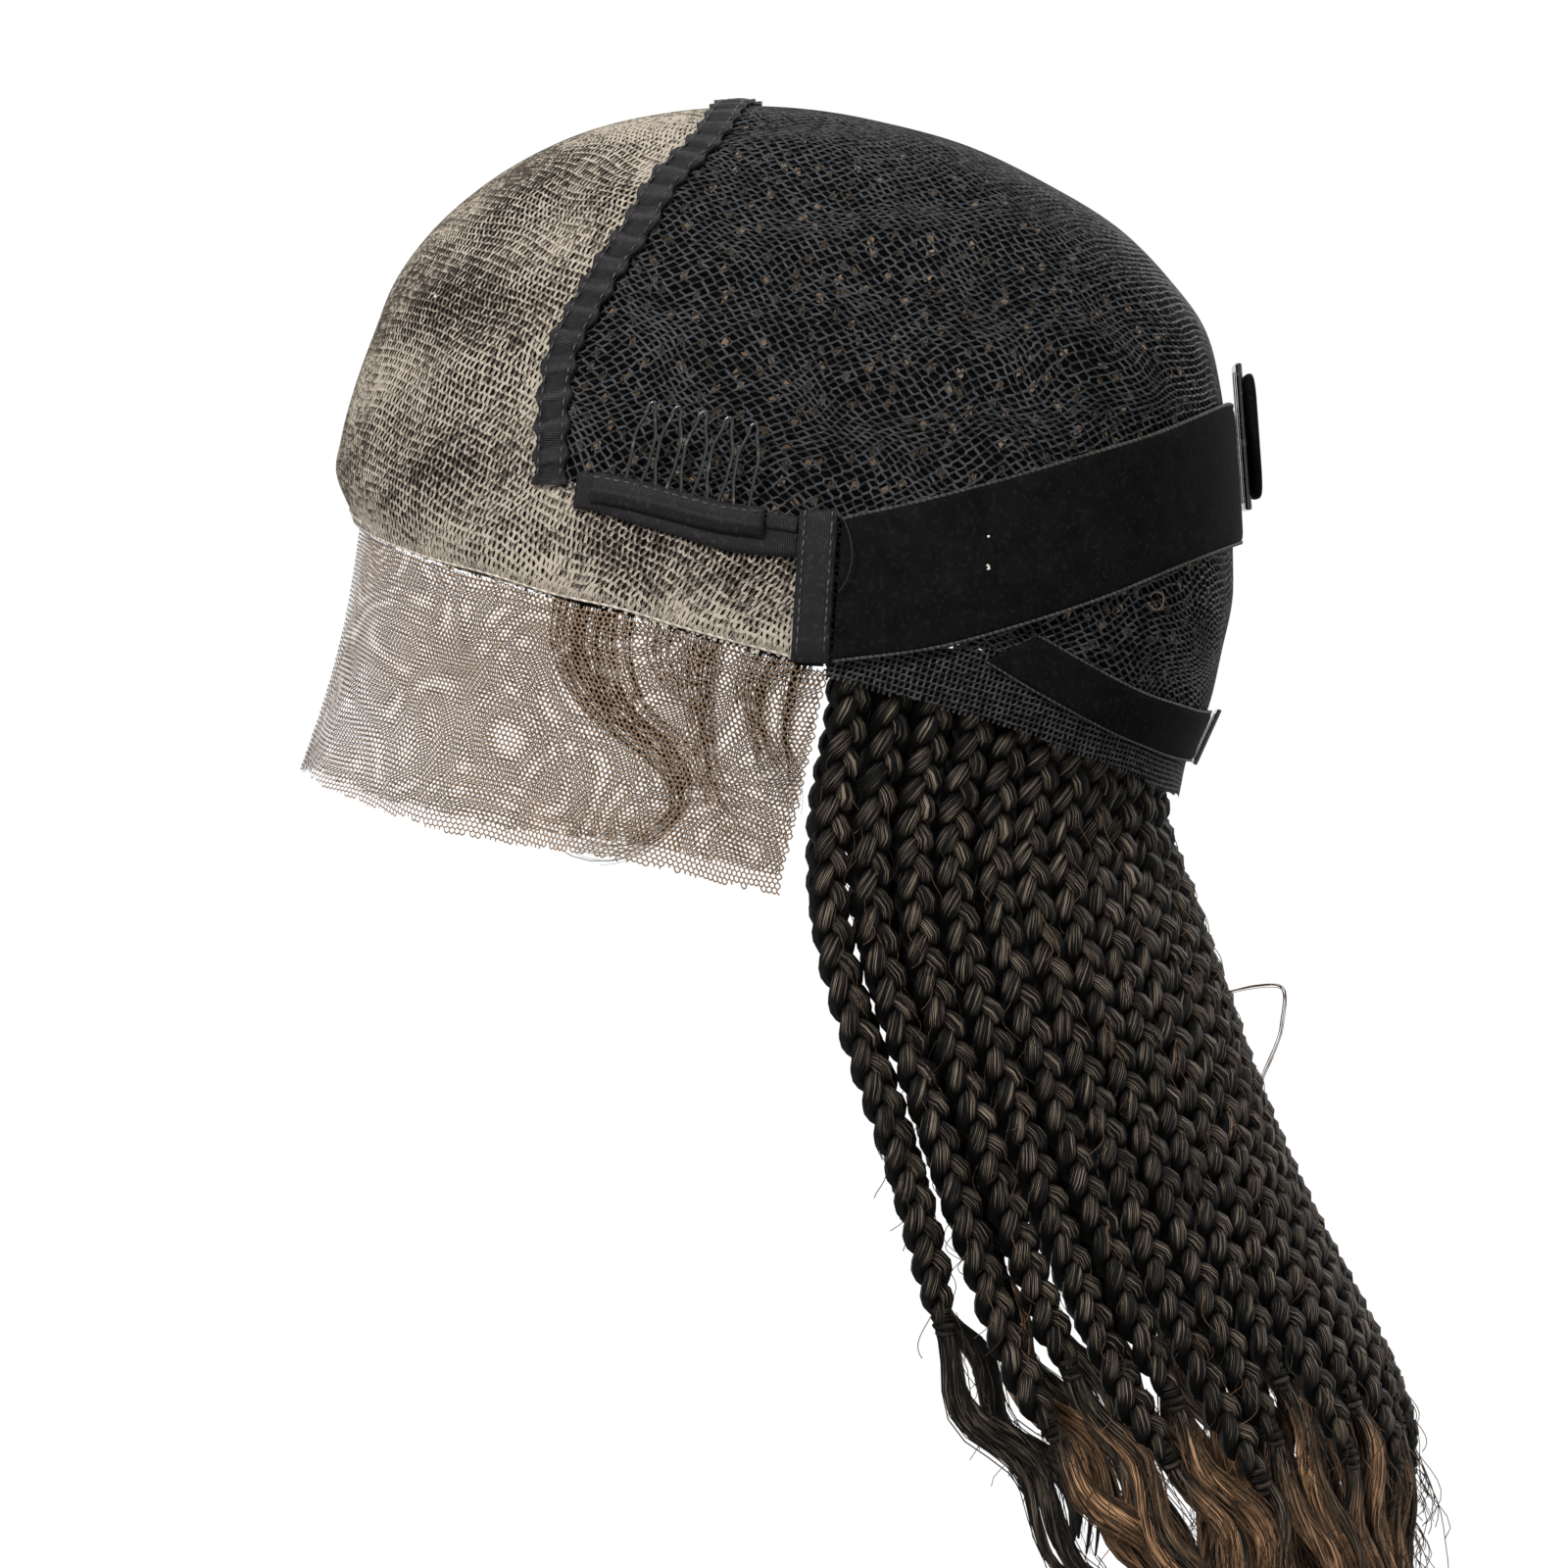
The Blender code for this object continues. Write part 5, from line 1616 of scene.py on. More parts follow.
@dataclass
class LaceFlap:
    """The sheer flap below the hairline: a net of fine six-sided holes with a frayed lower edge."""

    width_share: float = 0.92
    pointedness: float = 1.8
    hollow: float = 2.0 * MM
    fold: float = 0.9 * MM
    folds: int = 7
    thick: float = 1.0 * MM
    pitch: float = 1.22 * MM
    thread: float = 0.35 * MM

    def surface(self, rows: int, columns: int) -> Array:
        """The flap's middle layer.

        Straight falls from the hairline to the lower edge are sunk by a half sine and by waves growing downward.

        Args:
            rows: Points down.
            columns: Points a side from the middle.

        Returns:
            The grid.
        """
        top = both_sides(spread(CAP.side_line(LINES.lace_top), columns))
        along, up = np.asarray(LINES.lace_bottom, float).T
        forward = np.clip((along - along[-1]) / (along[0] - along[-1]), 0.0, 1.0)
        x = self.width_share * CAP.half_width * (1.0 - forward**self.pointedness) ** (1.0 / self.pointedness)
        half = np.stack([x, along * CAP.depth, up * CAP.rise], axis=1) + CAP.centre
        bottom = both_sides(spread(half, columns))
        around = np.linspace(-1.0, 1.0, 2 * columns - 1)
        t = np.linspace(0.0, 1.0, rows)[:, None, None]
        grid = top * (1 - t) + bottom * t
        sideways = np.gradient(grid, axis=1) * (1, 1, 0)
        inward = unit(np.cross(sideways, (0.0, 0.0, 1.0)))
        wave = self.fold * t * np.cos(around * self.folds * math.pi)[None, :, None]
        sink = self.hollow * np.sin(math.pi * t) + wave + self.thick / 2
        return grid + inward * sink

    @staticmethod
    def spans(grid: Array) -> tuple[Array, Array]:
        """Running length u round the hairline, and the fall of each column below it."""
        around = np.linalg.norm(np.diff(grid, axis=1), axis=-1).mean(axis=0)
        fall = np.linalg.norm(np.diff(grid, axis=0), axis=-1).sum(axis=0)
        return np.concatenate([[0.0], np.cumsum(around)]), fall

    def draped(self, flat: Array, grid: Array) -> tuple[Array, Array]:
        """Lays flat points on the flap: u runs round the hairline and v down, both in metres.

        Args:
            flat: Rows of u and v.
            grid: The flap's surface.

        Returns:
            Their places, and which of them lie on the flap above its frayed edge.
        """
        u, fall = self.spans(grid)
        fray = 0.8 * MM * ripple(np.stack([u, u], axis=1), 5, 5.0 * MM) + 0.3 * MM
        column = np.clip(np.interp(flat[:, 0], u, np.arange(len(u))), 0, len(u) - 1.001)
        full = np.interp(flat[:, 0], u, fall)
        row = np.clip(flat[:, 1] / full, 0.0, 0.9999) * (len(grid) - 1)
        i, j = row.astype(int), column.astype(int)
        a, b = (row - i)[:, None], (column - j)[:, None]
        point = (1 - a) * ((1 - b) * grid[i, j] + b * grid[i, j + 1])
        point = point + a * ((1 - b) * grid[i + 1, j] + b * grid[i + 1, j + 1])
        edge = full - np.abs(np.interp(flat[:, 0], u, fray))
        on = (flat[:, 0] >= 0) & (flat[:, 0] <= u[-1]) & (flat[:, 1] >= 0) & (flat[:, 1] <= edge)
        return point, on

    def build(self, finishes: Finishes) -> None:
        """Lays a flat net over the surface, and states its flat size.

        Args:
            finishes: The wig's finishes.
        """
        grid = self.surface(60, 90)
        u, length = self.spans(grid)
        net = NetPattern(
            pitch=self.pitch, drop=self.pitch * 0.87, slant=0.0, neck=self.pitch * 0.5, jitter=0.03 * MM, seed=41,
            warp=0.9 * MM, warp_scale=33 * MM,
        )
        starts, ends = net.edges(np.zeros(2), np.array((u[-1], length.max())))
        first, on_first = self.draped(starts, grid)
        last, on_last = self.draped(ends, grid)
        keep = on_first & on_last
        first, last = first[keep], last[keep]
        middle = (first + last) / 2
        outward = unit((middle - np.array((0.0, -0.02, middle[:, 2].mean()))) * (1, 1, 0.0))
        rng = np.random.default_rng(43)
        mould = Mould()
        mould.threads(first, last, outward, self.thread, 0.0, rng.uniform(-0.3, 0.6, len(first)))
        piece = finishes.sheer.dress(mould.make("sheer_net_flap"))
        place(piece, "lace_flap")
        covered = float((np.linalg.norm(last - first, axis=1) * self.thread).sum())
        LOG.info("flap: %.0f by %.0f mm, thread area %.0f mm2", u[-1] / MM, length.mean() / MM, covered / MM**2)


@dataclass(frozen=True)
class Layer:
    """One layer of braids: its nodes' name, a row for each braid, and how finely it is made.

    Columns: depth of the knot and of the end, drift to the back in spaces.
    """

    name: str
    node: str
    braids: Table
    inset: float
    fine: int
    sides: int
    clumps: int
    hairs: int
    seed: int
    first_browning: float = 1.0


@dataclass(frozen=True)
class Hair:
    """The hanging braids of both layers, each three strands plaited, then a knot and a loose wavy lock."""

    hang_length: float = 225.0 * MM
    half_width: float = 4.5 * MM
    half_thick: float = 3.9 * MM
    top_share: float = 0.79
    front_ease: float = 0.25
    start: float = 6.0 * MM
    tuck: float = 0.4 * MM
    gap: float = 0.3 * MM
    turn_length: float = 22.0 * MM
    strand_across: float = 2.50 * MM
    strand_out: float = 1.60 * MM
    strand_wide: float = 2.20 * MM
    strand_thick: float = 1.95 * MM
    right_seeds: int = 50
    # Columns: depth below the centre as a share of the hanging length, front and back as shares of the depth,
    # half width as a share of the cap's
    levels: Table = (
        (0.1244, -0.0067, 0.3904, 0.9211), (0.1956, -0.0077, 0.4106, 0.9342), (0.2800, 0.0096, 0.4429, 0.9408),
        (0.3822, 0.0463, 0.4814, 0.9342), (0.4889, 0.0839, 0.5296, 0.9276), (0.5778, 0.1104, 0.5778, 0.9211),
        (0.6667, 0.1393, 0.6284, 0.9145), (0.7467, 0.1971, 0.6622, 0.9079), (0.8578, 0.2887, 0.6573, 0.8947),
        (1.0000, 0.3393, 0.6573, 0.8816),
    )
    drift: tuple[float, float] = (0.436, 0.791)
    outer: Layer = Layer("outer", "braid", (
        (0.600, 0.929, -0.25), (0.707, 0.982, 0.25), (0.649, 0.996, 0.42), (0.738, 1.000, 0.40),
        (0.680, 0.964, 0.33), (0.764, 0.991, 0.30), (0.720, 0.996, 0.22), (0.667, 0.956, 0.14),
        (0.751, 1.000, 0.12), (0.698, 0.978, 0.08), (0.769, 1.000, 0.06), (0.729, 0.969, 0.00),
        (0.778, 0.996, 0.00),
    ), inset=0.0, fine=15, sides=7, clumps=9, hairs=18, seed=100, first_browning=0.3)
    inner: Layer = Layer("inner", "inner_braid", (
        (0.556, 0.920, -0.10), (0.658, 0.956, 0.20), (0.600, 0.978, 0.10), (0.693, 0.947, -0.15),
        (0.627, 0.982, 0.05), (0.671, 0.938, 0.00),
    ), inset=10.6 * MM, fine=11, sides=6, clumps=8, hairs=6, seed=200)

    def hang(self, shares: Array, inset: float, depths: Array) -> Array:
        """Places in the curtain: by share of the way round a quarter ellipse at each level.

        Args:
            shares: 0 at the front end, 1 at the middle of the back.
            inset: Distance inside the outer layer.
            depths: Depths below the centre as shares of the hanging length.

        Returns:
            The places.
        """
        table = np.asarray(self.levels, float)
        turns = np.linspace(0.0, math.pi / 2, 60)
        places = []
        for share, depth in zip(shares, depths):
            front, back, half = (eased(table[:, 0], table[:, k], depth) for k in (1, 2, 3))
            wide = half * CAP.half_width - inset
            deep = (back - front) * CAP.depth - 2 * inset
            ring = np.stack([wide * np.cos(turns), deep * np.sin(turns)], axis=1)
            runs = runs_along(ring)
            x, y = read_along(ring, runs, share * runs[-1])
            y = y + CAP.centre_back + front * CAP.depth + inset
            places.append((x, y, CAP.centre[2] - depth * self.hang_length))
        return np.array(places)

    def line(self, share: float, drift: float, inset: float, end: float) -> Array:
        """The line that a braid hangs along, as 400 even points from under the nape edge to its end.

        Args:
            share: Its share of the way round, 0 at the front end.
            drift: How far it drifts to the back, as such a share.
            inset: Distance inside the outer layer.
            end: Depth of its end as a share of the hanging length.

        Returns:
            The points.
        """
        edge = CAP.side_line(LINES.nape_edge)[::-1]
        start = spread(edge, 201)[int(round(share * 200))][None, :]
        kept = self.top_share - self.front_ease * (1.0 - share) ** 6
        under = CAP.wall + (1.1 + 1.4 * share) * self.gap + self.half_thick + inset * kept
        at_edge = CAP.seat(start, -under - self.tuck)[0]
        begin = CAP.seat(start + (0.0, 0.0, self.start), -under)[0]
        depths = np.arange(0.1333, end + 0.08 / 3, 0.08)
        depths = depths[CAP.centre[2] - depths * self.hang_length < at_edge[2] - 14.0 * MM]
        fallen = smooth_step((depths - self.drift[0]) / (self.drift[1] - self.drift[0]))
        places = share + drift * fallen
        return spread(np.concatenate([[begin, at_edge], self.hang(places, inset, depths)]), 400)

    def frames(self, line: Array) -> tuple[Array, Array]:
        """Sideways and outward directions along a braid's line.

        Args:
            line: The line.

        Returns:
            Both directions at each point.
        """
        tangent = unit(np.gradient(line, axis=0))
        ref = line * (1, 1, 0) - np.array((0.0, line[:, 1].mean() - CAP.half_width / 2, 0.0))
        across = unit(np.cross(tangent, ref))
        return across, np.cross(across, tangent)

    def plait(self, mould: Mould, line: Array, knot: int, side: Side, fine: int, sides: int, seed: int) -> None:
        """Three strands of one braid: sideways a*sin(p), outward b*sin(2p), a third of a turn apart.

        Args:
            mould: Takes the strands.
            line: The braid's line.
            knot: Its point at the knot.
            side: Which half it hangs on.
            fine: Points in one full turn.
            sides: Corners of a strand's section.
            seed: Fixes its irregularities.
        """
        rng = np.random.default_rng(seed)
        runs = runs_along(line)
        length = runs[knot]
        turn = self.turn_length * rng.uniform(0.94, 1.06)
        run = np.linspace(0.0, length, int(length / turn * fine))
        path = read_along(line, runs, run)
        across, outward = self.frames(path)
        wobble = rng.uniform(0, math.tau)
        close = 1 - 0.45 * smooth_step((run - length + 9 * MM) / (9 * MM))
        for strand in range(3):
            phase = math.tau * (run / turn + strand / 3) + wobble
            phase = phase + 0.16 * np.sin(run / (17 * MM) + wobble * 3)
            sideways = self.strand_across * close * np.sin(phase)
            depth = self.strand_out * close * np.sin(2 * phase)
            points = path + across * sideways[:, None] + outward * depth[:, None]
            swell = 1 + 0.10 * np.cos(2 * phase + math.pi) + 0.05 * np.sin(run / (5 * MM) + strand)
            wide = self.strand_wide * swell * close
            thick = self.strand_thick * (1 + 0.12 * np.sin(2 * phase)) * close
            # Painted shade: the tone falls toward -1 where the strand dips between the lobes, so only the crests keep
            # their pale fibres, and the shade of 0.75 darkens the strand's inner side.
            tone = 0.04 - 1.05 * (0.5 - 0.5 * np.sin(2 * phase)) ** 0.8
            twist = 18.0 * (strand - 1) + 9.0
            mould.tubes((points * side.turn)[None], wide, thick, sides, outward * side.turn, tone[None], twist, 0.75)

    def lock(self, mould: Mould, line: Array, knot: int, last: int, side: Side, layer: Layer, number: int) -> None:
        """The loose lock below a knot: clumps and single hairs that leave the knot together and wave apart.

        Args:
            mould: Takes the lock.
            line: The braid's line.
            knot: Its point at the knot.
            last: Its point at the loose end.
            side: Which half it hangs on.
            layer: The braid's layer.
            number: The braid's number in the layer, from 0.
        """
        rng = np.random.default_rng(layer.seed + number + self.right_seeds * (side is Side.RIGHT))
        runs = runs_along(line)
        fall = runs[last] - runs[knot]
        browning = layer.first_browning if number == 0 else 1.0
        swing = rng.uniform(0.0, math.tau)
        turns = rng.uniform(1.3, 1.9) * fall / (75 * MM)
        # Columns: how many, radius and reach in millimetres, corners of the section, points along
        for count, radius, reach, sides, points in (
            (layer.clumps, 1.75, 2.6, 6, 24), (layer.hairs, 0.22, 5.0, 3, 16)
        ):
            share = np.linspace(0.0, 1.0, points)
            ends = runs[last] - fall * rng.uniform(0.0, 0.22, count) ** 1.5
            run = runs[knot] - 3 * MM + (ends - runs[knot] + 3 * MM)[:, None] * share
            path = read_along(line, runs, run)
            across, outward = self.frames(read_along(line, runs, runs[knot] + fall * share))
            angle = rng.uniform(0, math.tau, count)[:, None]
            away = np.sqrt(rng.uniform(0.1, 1.0, count))[:, None] * reach * MM
            away = away * (0.35 + 0.65 * smooth_step(share * 2.0))
            bend = rng.uniform(0.4, 1.2, count)[:, None] * MM * 1.8 * share
            common = 3.6 * MM * smooth_step(share * 2.5) * np.sin(share * math.tau * turns + swing)
            wave = share * math.tau * rng.uniform(1.2, 2.2, count)[:, None] + rng.uniform(0, math.tau, count)[:, None]
            sideways = away * np.cos(angle) + bend * np.sin(wave) + common
            depth = 0.7 * away * np.sin(angle) + 0.6 * bend * np.cos(wave)
            paths = path + across * sideways[..., None] + outward * depth[..., None]
            wide = radius * MM * rng.uniform(0.75, 1.25, count)[:, None]
            wide = wide * (1.0 - 0.8 * share**4) * (0.75 + 0.25 * share)
            brown = rng.uniform(0.0, 1.0, count)[:, None] ** 0.7
            tone = -0.35 + smooth_step(share * 3.0) * (0.2 + 1.25 * brown) * browning
            # The tone starts at -0.35 by the knot and rises toward the brown tip; the shade of 0.4 is painted shade
            # on each clump's and hair's inner side.
            mould.tubes(paths * side.turn, wide, wide * 0.6, sides, outward * side.turn, tone, 12.0, 0.4)

    def knot(self, mould: Mould, line: Array, knot: int, side: Side, seed: int) -> None:
        """The knot: one strand wound round the braid's end, a tight helix.

        Args:
            mould: Takes the strand.
            line: The braid's line.
            knot: Its point at the knot.
            side: Which half it hangs on.
            seed: Fixes where the helix starts.
        """
        points = 44
        runs = runs_along(line)
        path = read_along(line, runs, runs[knot] + np.linspace(-3.2, 3.0, points) * MM)
        across, outward = self.frames(path)
        turn = np.linspace(0.0, math.tau * 3.6, points) + np.random.default_rng(seed).uniform(0, math.tau)
        bulge = 1.75 * MM * (1 - 0.25 * np.linspace(-1, 1, points) ** 2)
        path = path + across * (np.cos(turn) * bulge)[:, None] + outward * (np.sin(turn) * bulge * 0.85)[:, None]
        # Painted shade: a tone of -0.25 thins the pale fibres, and the shade of 0.6 darkens the wound strand's inner
        # side.
        mould.tubes((path * side.turn)[None], 0.85 * MM, 0.8 * MM, 6, outward * side.turn, -0.25, 0.0, 0.6)

    def build(self, finishes: Finishes) -> None:
        """Makes and places each layer of each side: plaited lengths and knots, then the locks.

        Args:
            finishes: The wig's finishes.
        """
        for side in Side:
            for layer in (self.outer, self.inner):
                plaits, locks = Mould(), Mould()
                names = []
                count = len(layer.braids)
                for i, (knot, end, drift) in enumerate(layer.braids):
                    line = self.line((i + 0.5) / count, drift / count, layer.inset, end)
                    depths = (CAP.centre[2] - line[:, 2]) / self.hang_length
                    at_knot, at_end = (int(np.argmin(np.abs(depths - wanted))) for wanted in (knot, end))
                    seed = layer.seed + i + self.right_seeds * (side is Side.RIGHT)
                    self.plait(plaits, line, at_knot, side, layer.fine, layer.sides, seed)
                    self.knot(plaits, line, at_knot, side, seed)
                    self.lock(locks, line, at_knot, at_end, side, layer, i)
                    names.append(f"{layer.node}_{side.word}_{i + 1:02d}")
                place(finishes.hair.dress(plaits.make(f"{layer.name}_plaits_{side.word}")), *names)
                place(finishes.hair.dress(locks.make(f"{layer.name}_locks_{side.word}")))


@dataclass
class SmallThings:
    """What lies on the cap: the welt at the hairline, hair knots in the net, the back seam, tag and lint."""

    welt_step: float = 0.62 * MM
    welt_depth: float = 2.3 * MM
    knot_pitch: float = 5.6 * MM
    fibre: float = 2.1 * MM
    # Side-view shares of the depth and the rise; for lint, on the band and the front, also its lift in mm
    lint: Table = ((0.177, 0.266, 5.0), (0.175, 0.215, 5.0), (-0.410, 0.662, 0.5))
    tag_top: Table = ((-0.050, 0.306), (-0.017, 0.299))
    tag_bottom: Table = ((-0.052, 0.281), (-0.019, 0.274))
    loop: Table = ((0.027, 0.303), (0.035, 0.271), (0.038, 0.233), (0.031, 0.194), (0.024, 0.179))
    ring: Table = ((0.356, 0.176), (0.364, 0.184), (0.372, 0.177), (0.371, 0.162), (0.361, 0.156), (0.355, 0.167))

    def welt(self, finishes: Finishes) -> None:
        """The zigzag stitches that edge the hairline: points in turn on the edge and a stitch's depth inside.

        Args:
            finishes: The wig's finishes.
        """
        low = spread(CAP.side_line(LINES.hairline), 400)
        high = CAP.trimmed(low, CAP.side_line(LINES.crown_seam)[[0] * 400], self.welt_depth)
        high = CAP.seat(low + (high - low) * np.sign((high - low)[:, 2:]))
        count = int(runs_along(low)[-1] / self.welt_step)
        index = np.linspace(2, 397, count)
        rng = np.random.default_rng(61)
        share = (np.arange(count) % 2) + rng.uniform(-0.12, 0.12, count)
        base, top = (read_along(line, np.arange(400), index) for line in (low, high))
        path = CAP.above(base + (top - base) * np.clip(share, 0, 1.1)[:, None], 0.18 * MM)
        edge = CAP.above(spread(CAP.side_line(LINES.hairline), 300), 0.1 * MM)
        for side in Side:
            mould = Mould()
            tone = rng.uniform(-0.5, 0.6, count)
            mould.tubes((path * side.turn)[None], 0.17 * MM, 0.12 * MM, 5, CAP.outward(path) * side.turn, tone[None])
            mould.tubes((edge * side.turn)[None], 0.28 * MM, 0.26 * MM, 6, CAP.outward(edge) * side.turn)
            place(finishes.welt.dress(mould.make("hairline_welt_" + side.word)))

    def knots(self, finishes: Finishes) -> None:
        """Tufts of four short fibres under the net, on a loose slanted grid like that of the net's own rows.

        Args:
            finishes: The wig's finishes.
        """
        rng = np.random.default_rng(62)
        row, column = np.mgrid[-40:41, -40:41]
        flat = np.stack([(column + (row % 2) / 2) * self.knot_pitch, row * self.knot_pitch * 0.8], axis=-1)
        flat = flat.reshape(-1, 2)
        turn = math.radians(-16.0)
        flat = flat @ np.array(((math.cos(turn), math.sin(turn)), (-math.sin(turn), math.cos(turn)))) + (0.03, 0.08)
        flat = flat + rng.normal(scale=1.1 * MM, size=flat.shape)
        flat = flat[rng.uniform(size=len(flat)) < 0.82]
        heading = rng.normal(loc=math.radians(70.0), scale=0.5, size=len(flat))
        along = np.stack([np.cos(heading), np.sin(heading)], axis=1)
        beside = np.stack([-along[:, 1], along[:, 0]], axis=1)
        starts, ends = [], []
        glow = rng.uniform(-0.6, 0.9, len(flat))
        for k in range(4):
            shift = beside * ((k - 1.5) * 0.34 * MM) + along * rng.normal(scale=0.25 * MM, size=(len(flat), 1))
            half = along * self.fibre / 2 * rng.uniform(0.7, 1.2, (len(flat), 1))
            starts.append(flat + shift - half)
            ends.append(flat + shift + half)
        first, over = CAP.laid(np.concatenate(starts))
        last, over_too = CAP.laid(np.concatenate(ends))
        keep = inside(LINES.crown, first[:, 1], first[:, 2]) & ~over & ~over_too
        first, last, tone = first[keep], last[keep], np.tile(glow, 4)[keep]
        outward = CAP.outward(first)
        first, last = CAP.above(first, -0.30 * MM), CAP.above(last, -0.30 * MM)
        for side in Side:
            mould = Mould()
            turned = [line * side.turn for line in (first, last)[:: side.value]]
            mould.threads(*turned, outward * side.turn, 0.42 * MM, 0.0, tone)
            place(finishes.knots.dress(mould.make("hair_knots_" + side.word)))

    def seam(self, finishes: Finishes) -> None:
        """The seam down the middle of the back, a low cord on the net from the ribbon to the nape.

        Args:
            finishes: The wig's finishes.
        """
        direction = np.radians(np.linspace(101.0, -4.0, 120))
        line = CAP.centre + CAP.rise * np.stack([np.zeros(120), np.cos(direction), np.sin(direction)], axis=1)
        path = CAP.above(CAP.seat(line), 0.05 * MM)
        mould = Mould()
        mould.tubes(path[None], 0.9 * MM, 0.35 * MM, 8, CAP.outward(path))
        place(finishes.stitch.dress(mould.make("back_seam")))

    def build(self, finishes: Finishes, trims: Trims) -> None:
        """Makes and places them all, on both sides alike and with the tags bare.

        Args:
            finishes: The wig's finishes.
            trims: The trims that they lie beside.
        """
        self.welt(finishes)
        self.knots(finishes)
        self.seam(finishes)
        ends = [spread(CAP.side_line(table, False), 16) for table in (self.tag_top, self.tag_bottom)]
        grid = CAP.ruled(*ends, 9)
        loop = spread(CAP.side_line(self.loop, False), 40)
        loop_height = trims.tab_lift + (0.5 + 1.3 * np.sin(np.linspace(0, math.pi, 40))) * MM
        ring = spread(CAP.side_line(self.ring, False), 40)
        rng = np.random.default_rng(64)
        for side in Side:
            word = side.word
            place(trims.layer(f"bare_tag_{word}", grid, trims.tape_lift + 0.55 * MM, 0.35 * MM, side, finishes.satin))
            for name, line, lift, wide, thick, sides, tone, finish in (
                ("loose_loop", loop, loop_height, 0.14 * MM, 0.14 * MM, 5, -0.4, finishes.cord),
                ("ring_thread", ring, 0.6 * MM, 0.22 * MM, 0.2 * MM, 6, 0.3, finishes.knots),
            ):
                mould = Mould()
                points = CAP.above(line, lift) * side.turn
                mould.tubes(points[None], wide, thick, sides, CAP.outward(line) * side.turn, tone)
                place(finish.dress(mould.make(f"{name}_{word}")))
        specks = Mould()
        for along, up, lift in self.lint:
            spot = CAP.side_line(((along, up),), False)[0]
            bends = spot + rng.normal(scale=0.35 * MM, size=(7, 3)).cumsum(axis=0) * 0.5
            path = CAP.seat(bends, np.full(7, (lift - 0.1) * MM))
            specks.tubes(path[None], 0.26 * MM, 0.2 * MM, 5, CAP.outward(path), 0.5)
        place(finishes.welt.dress(specks.make("lint_specks")))


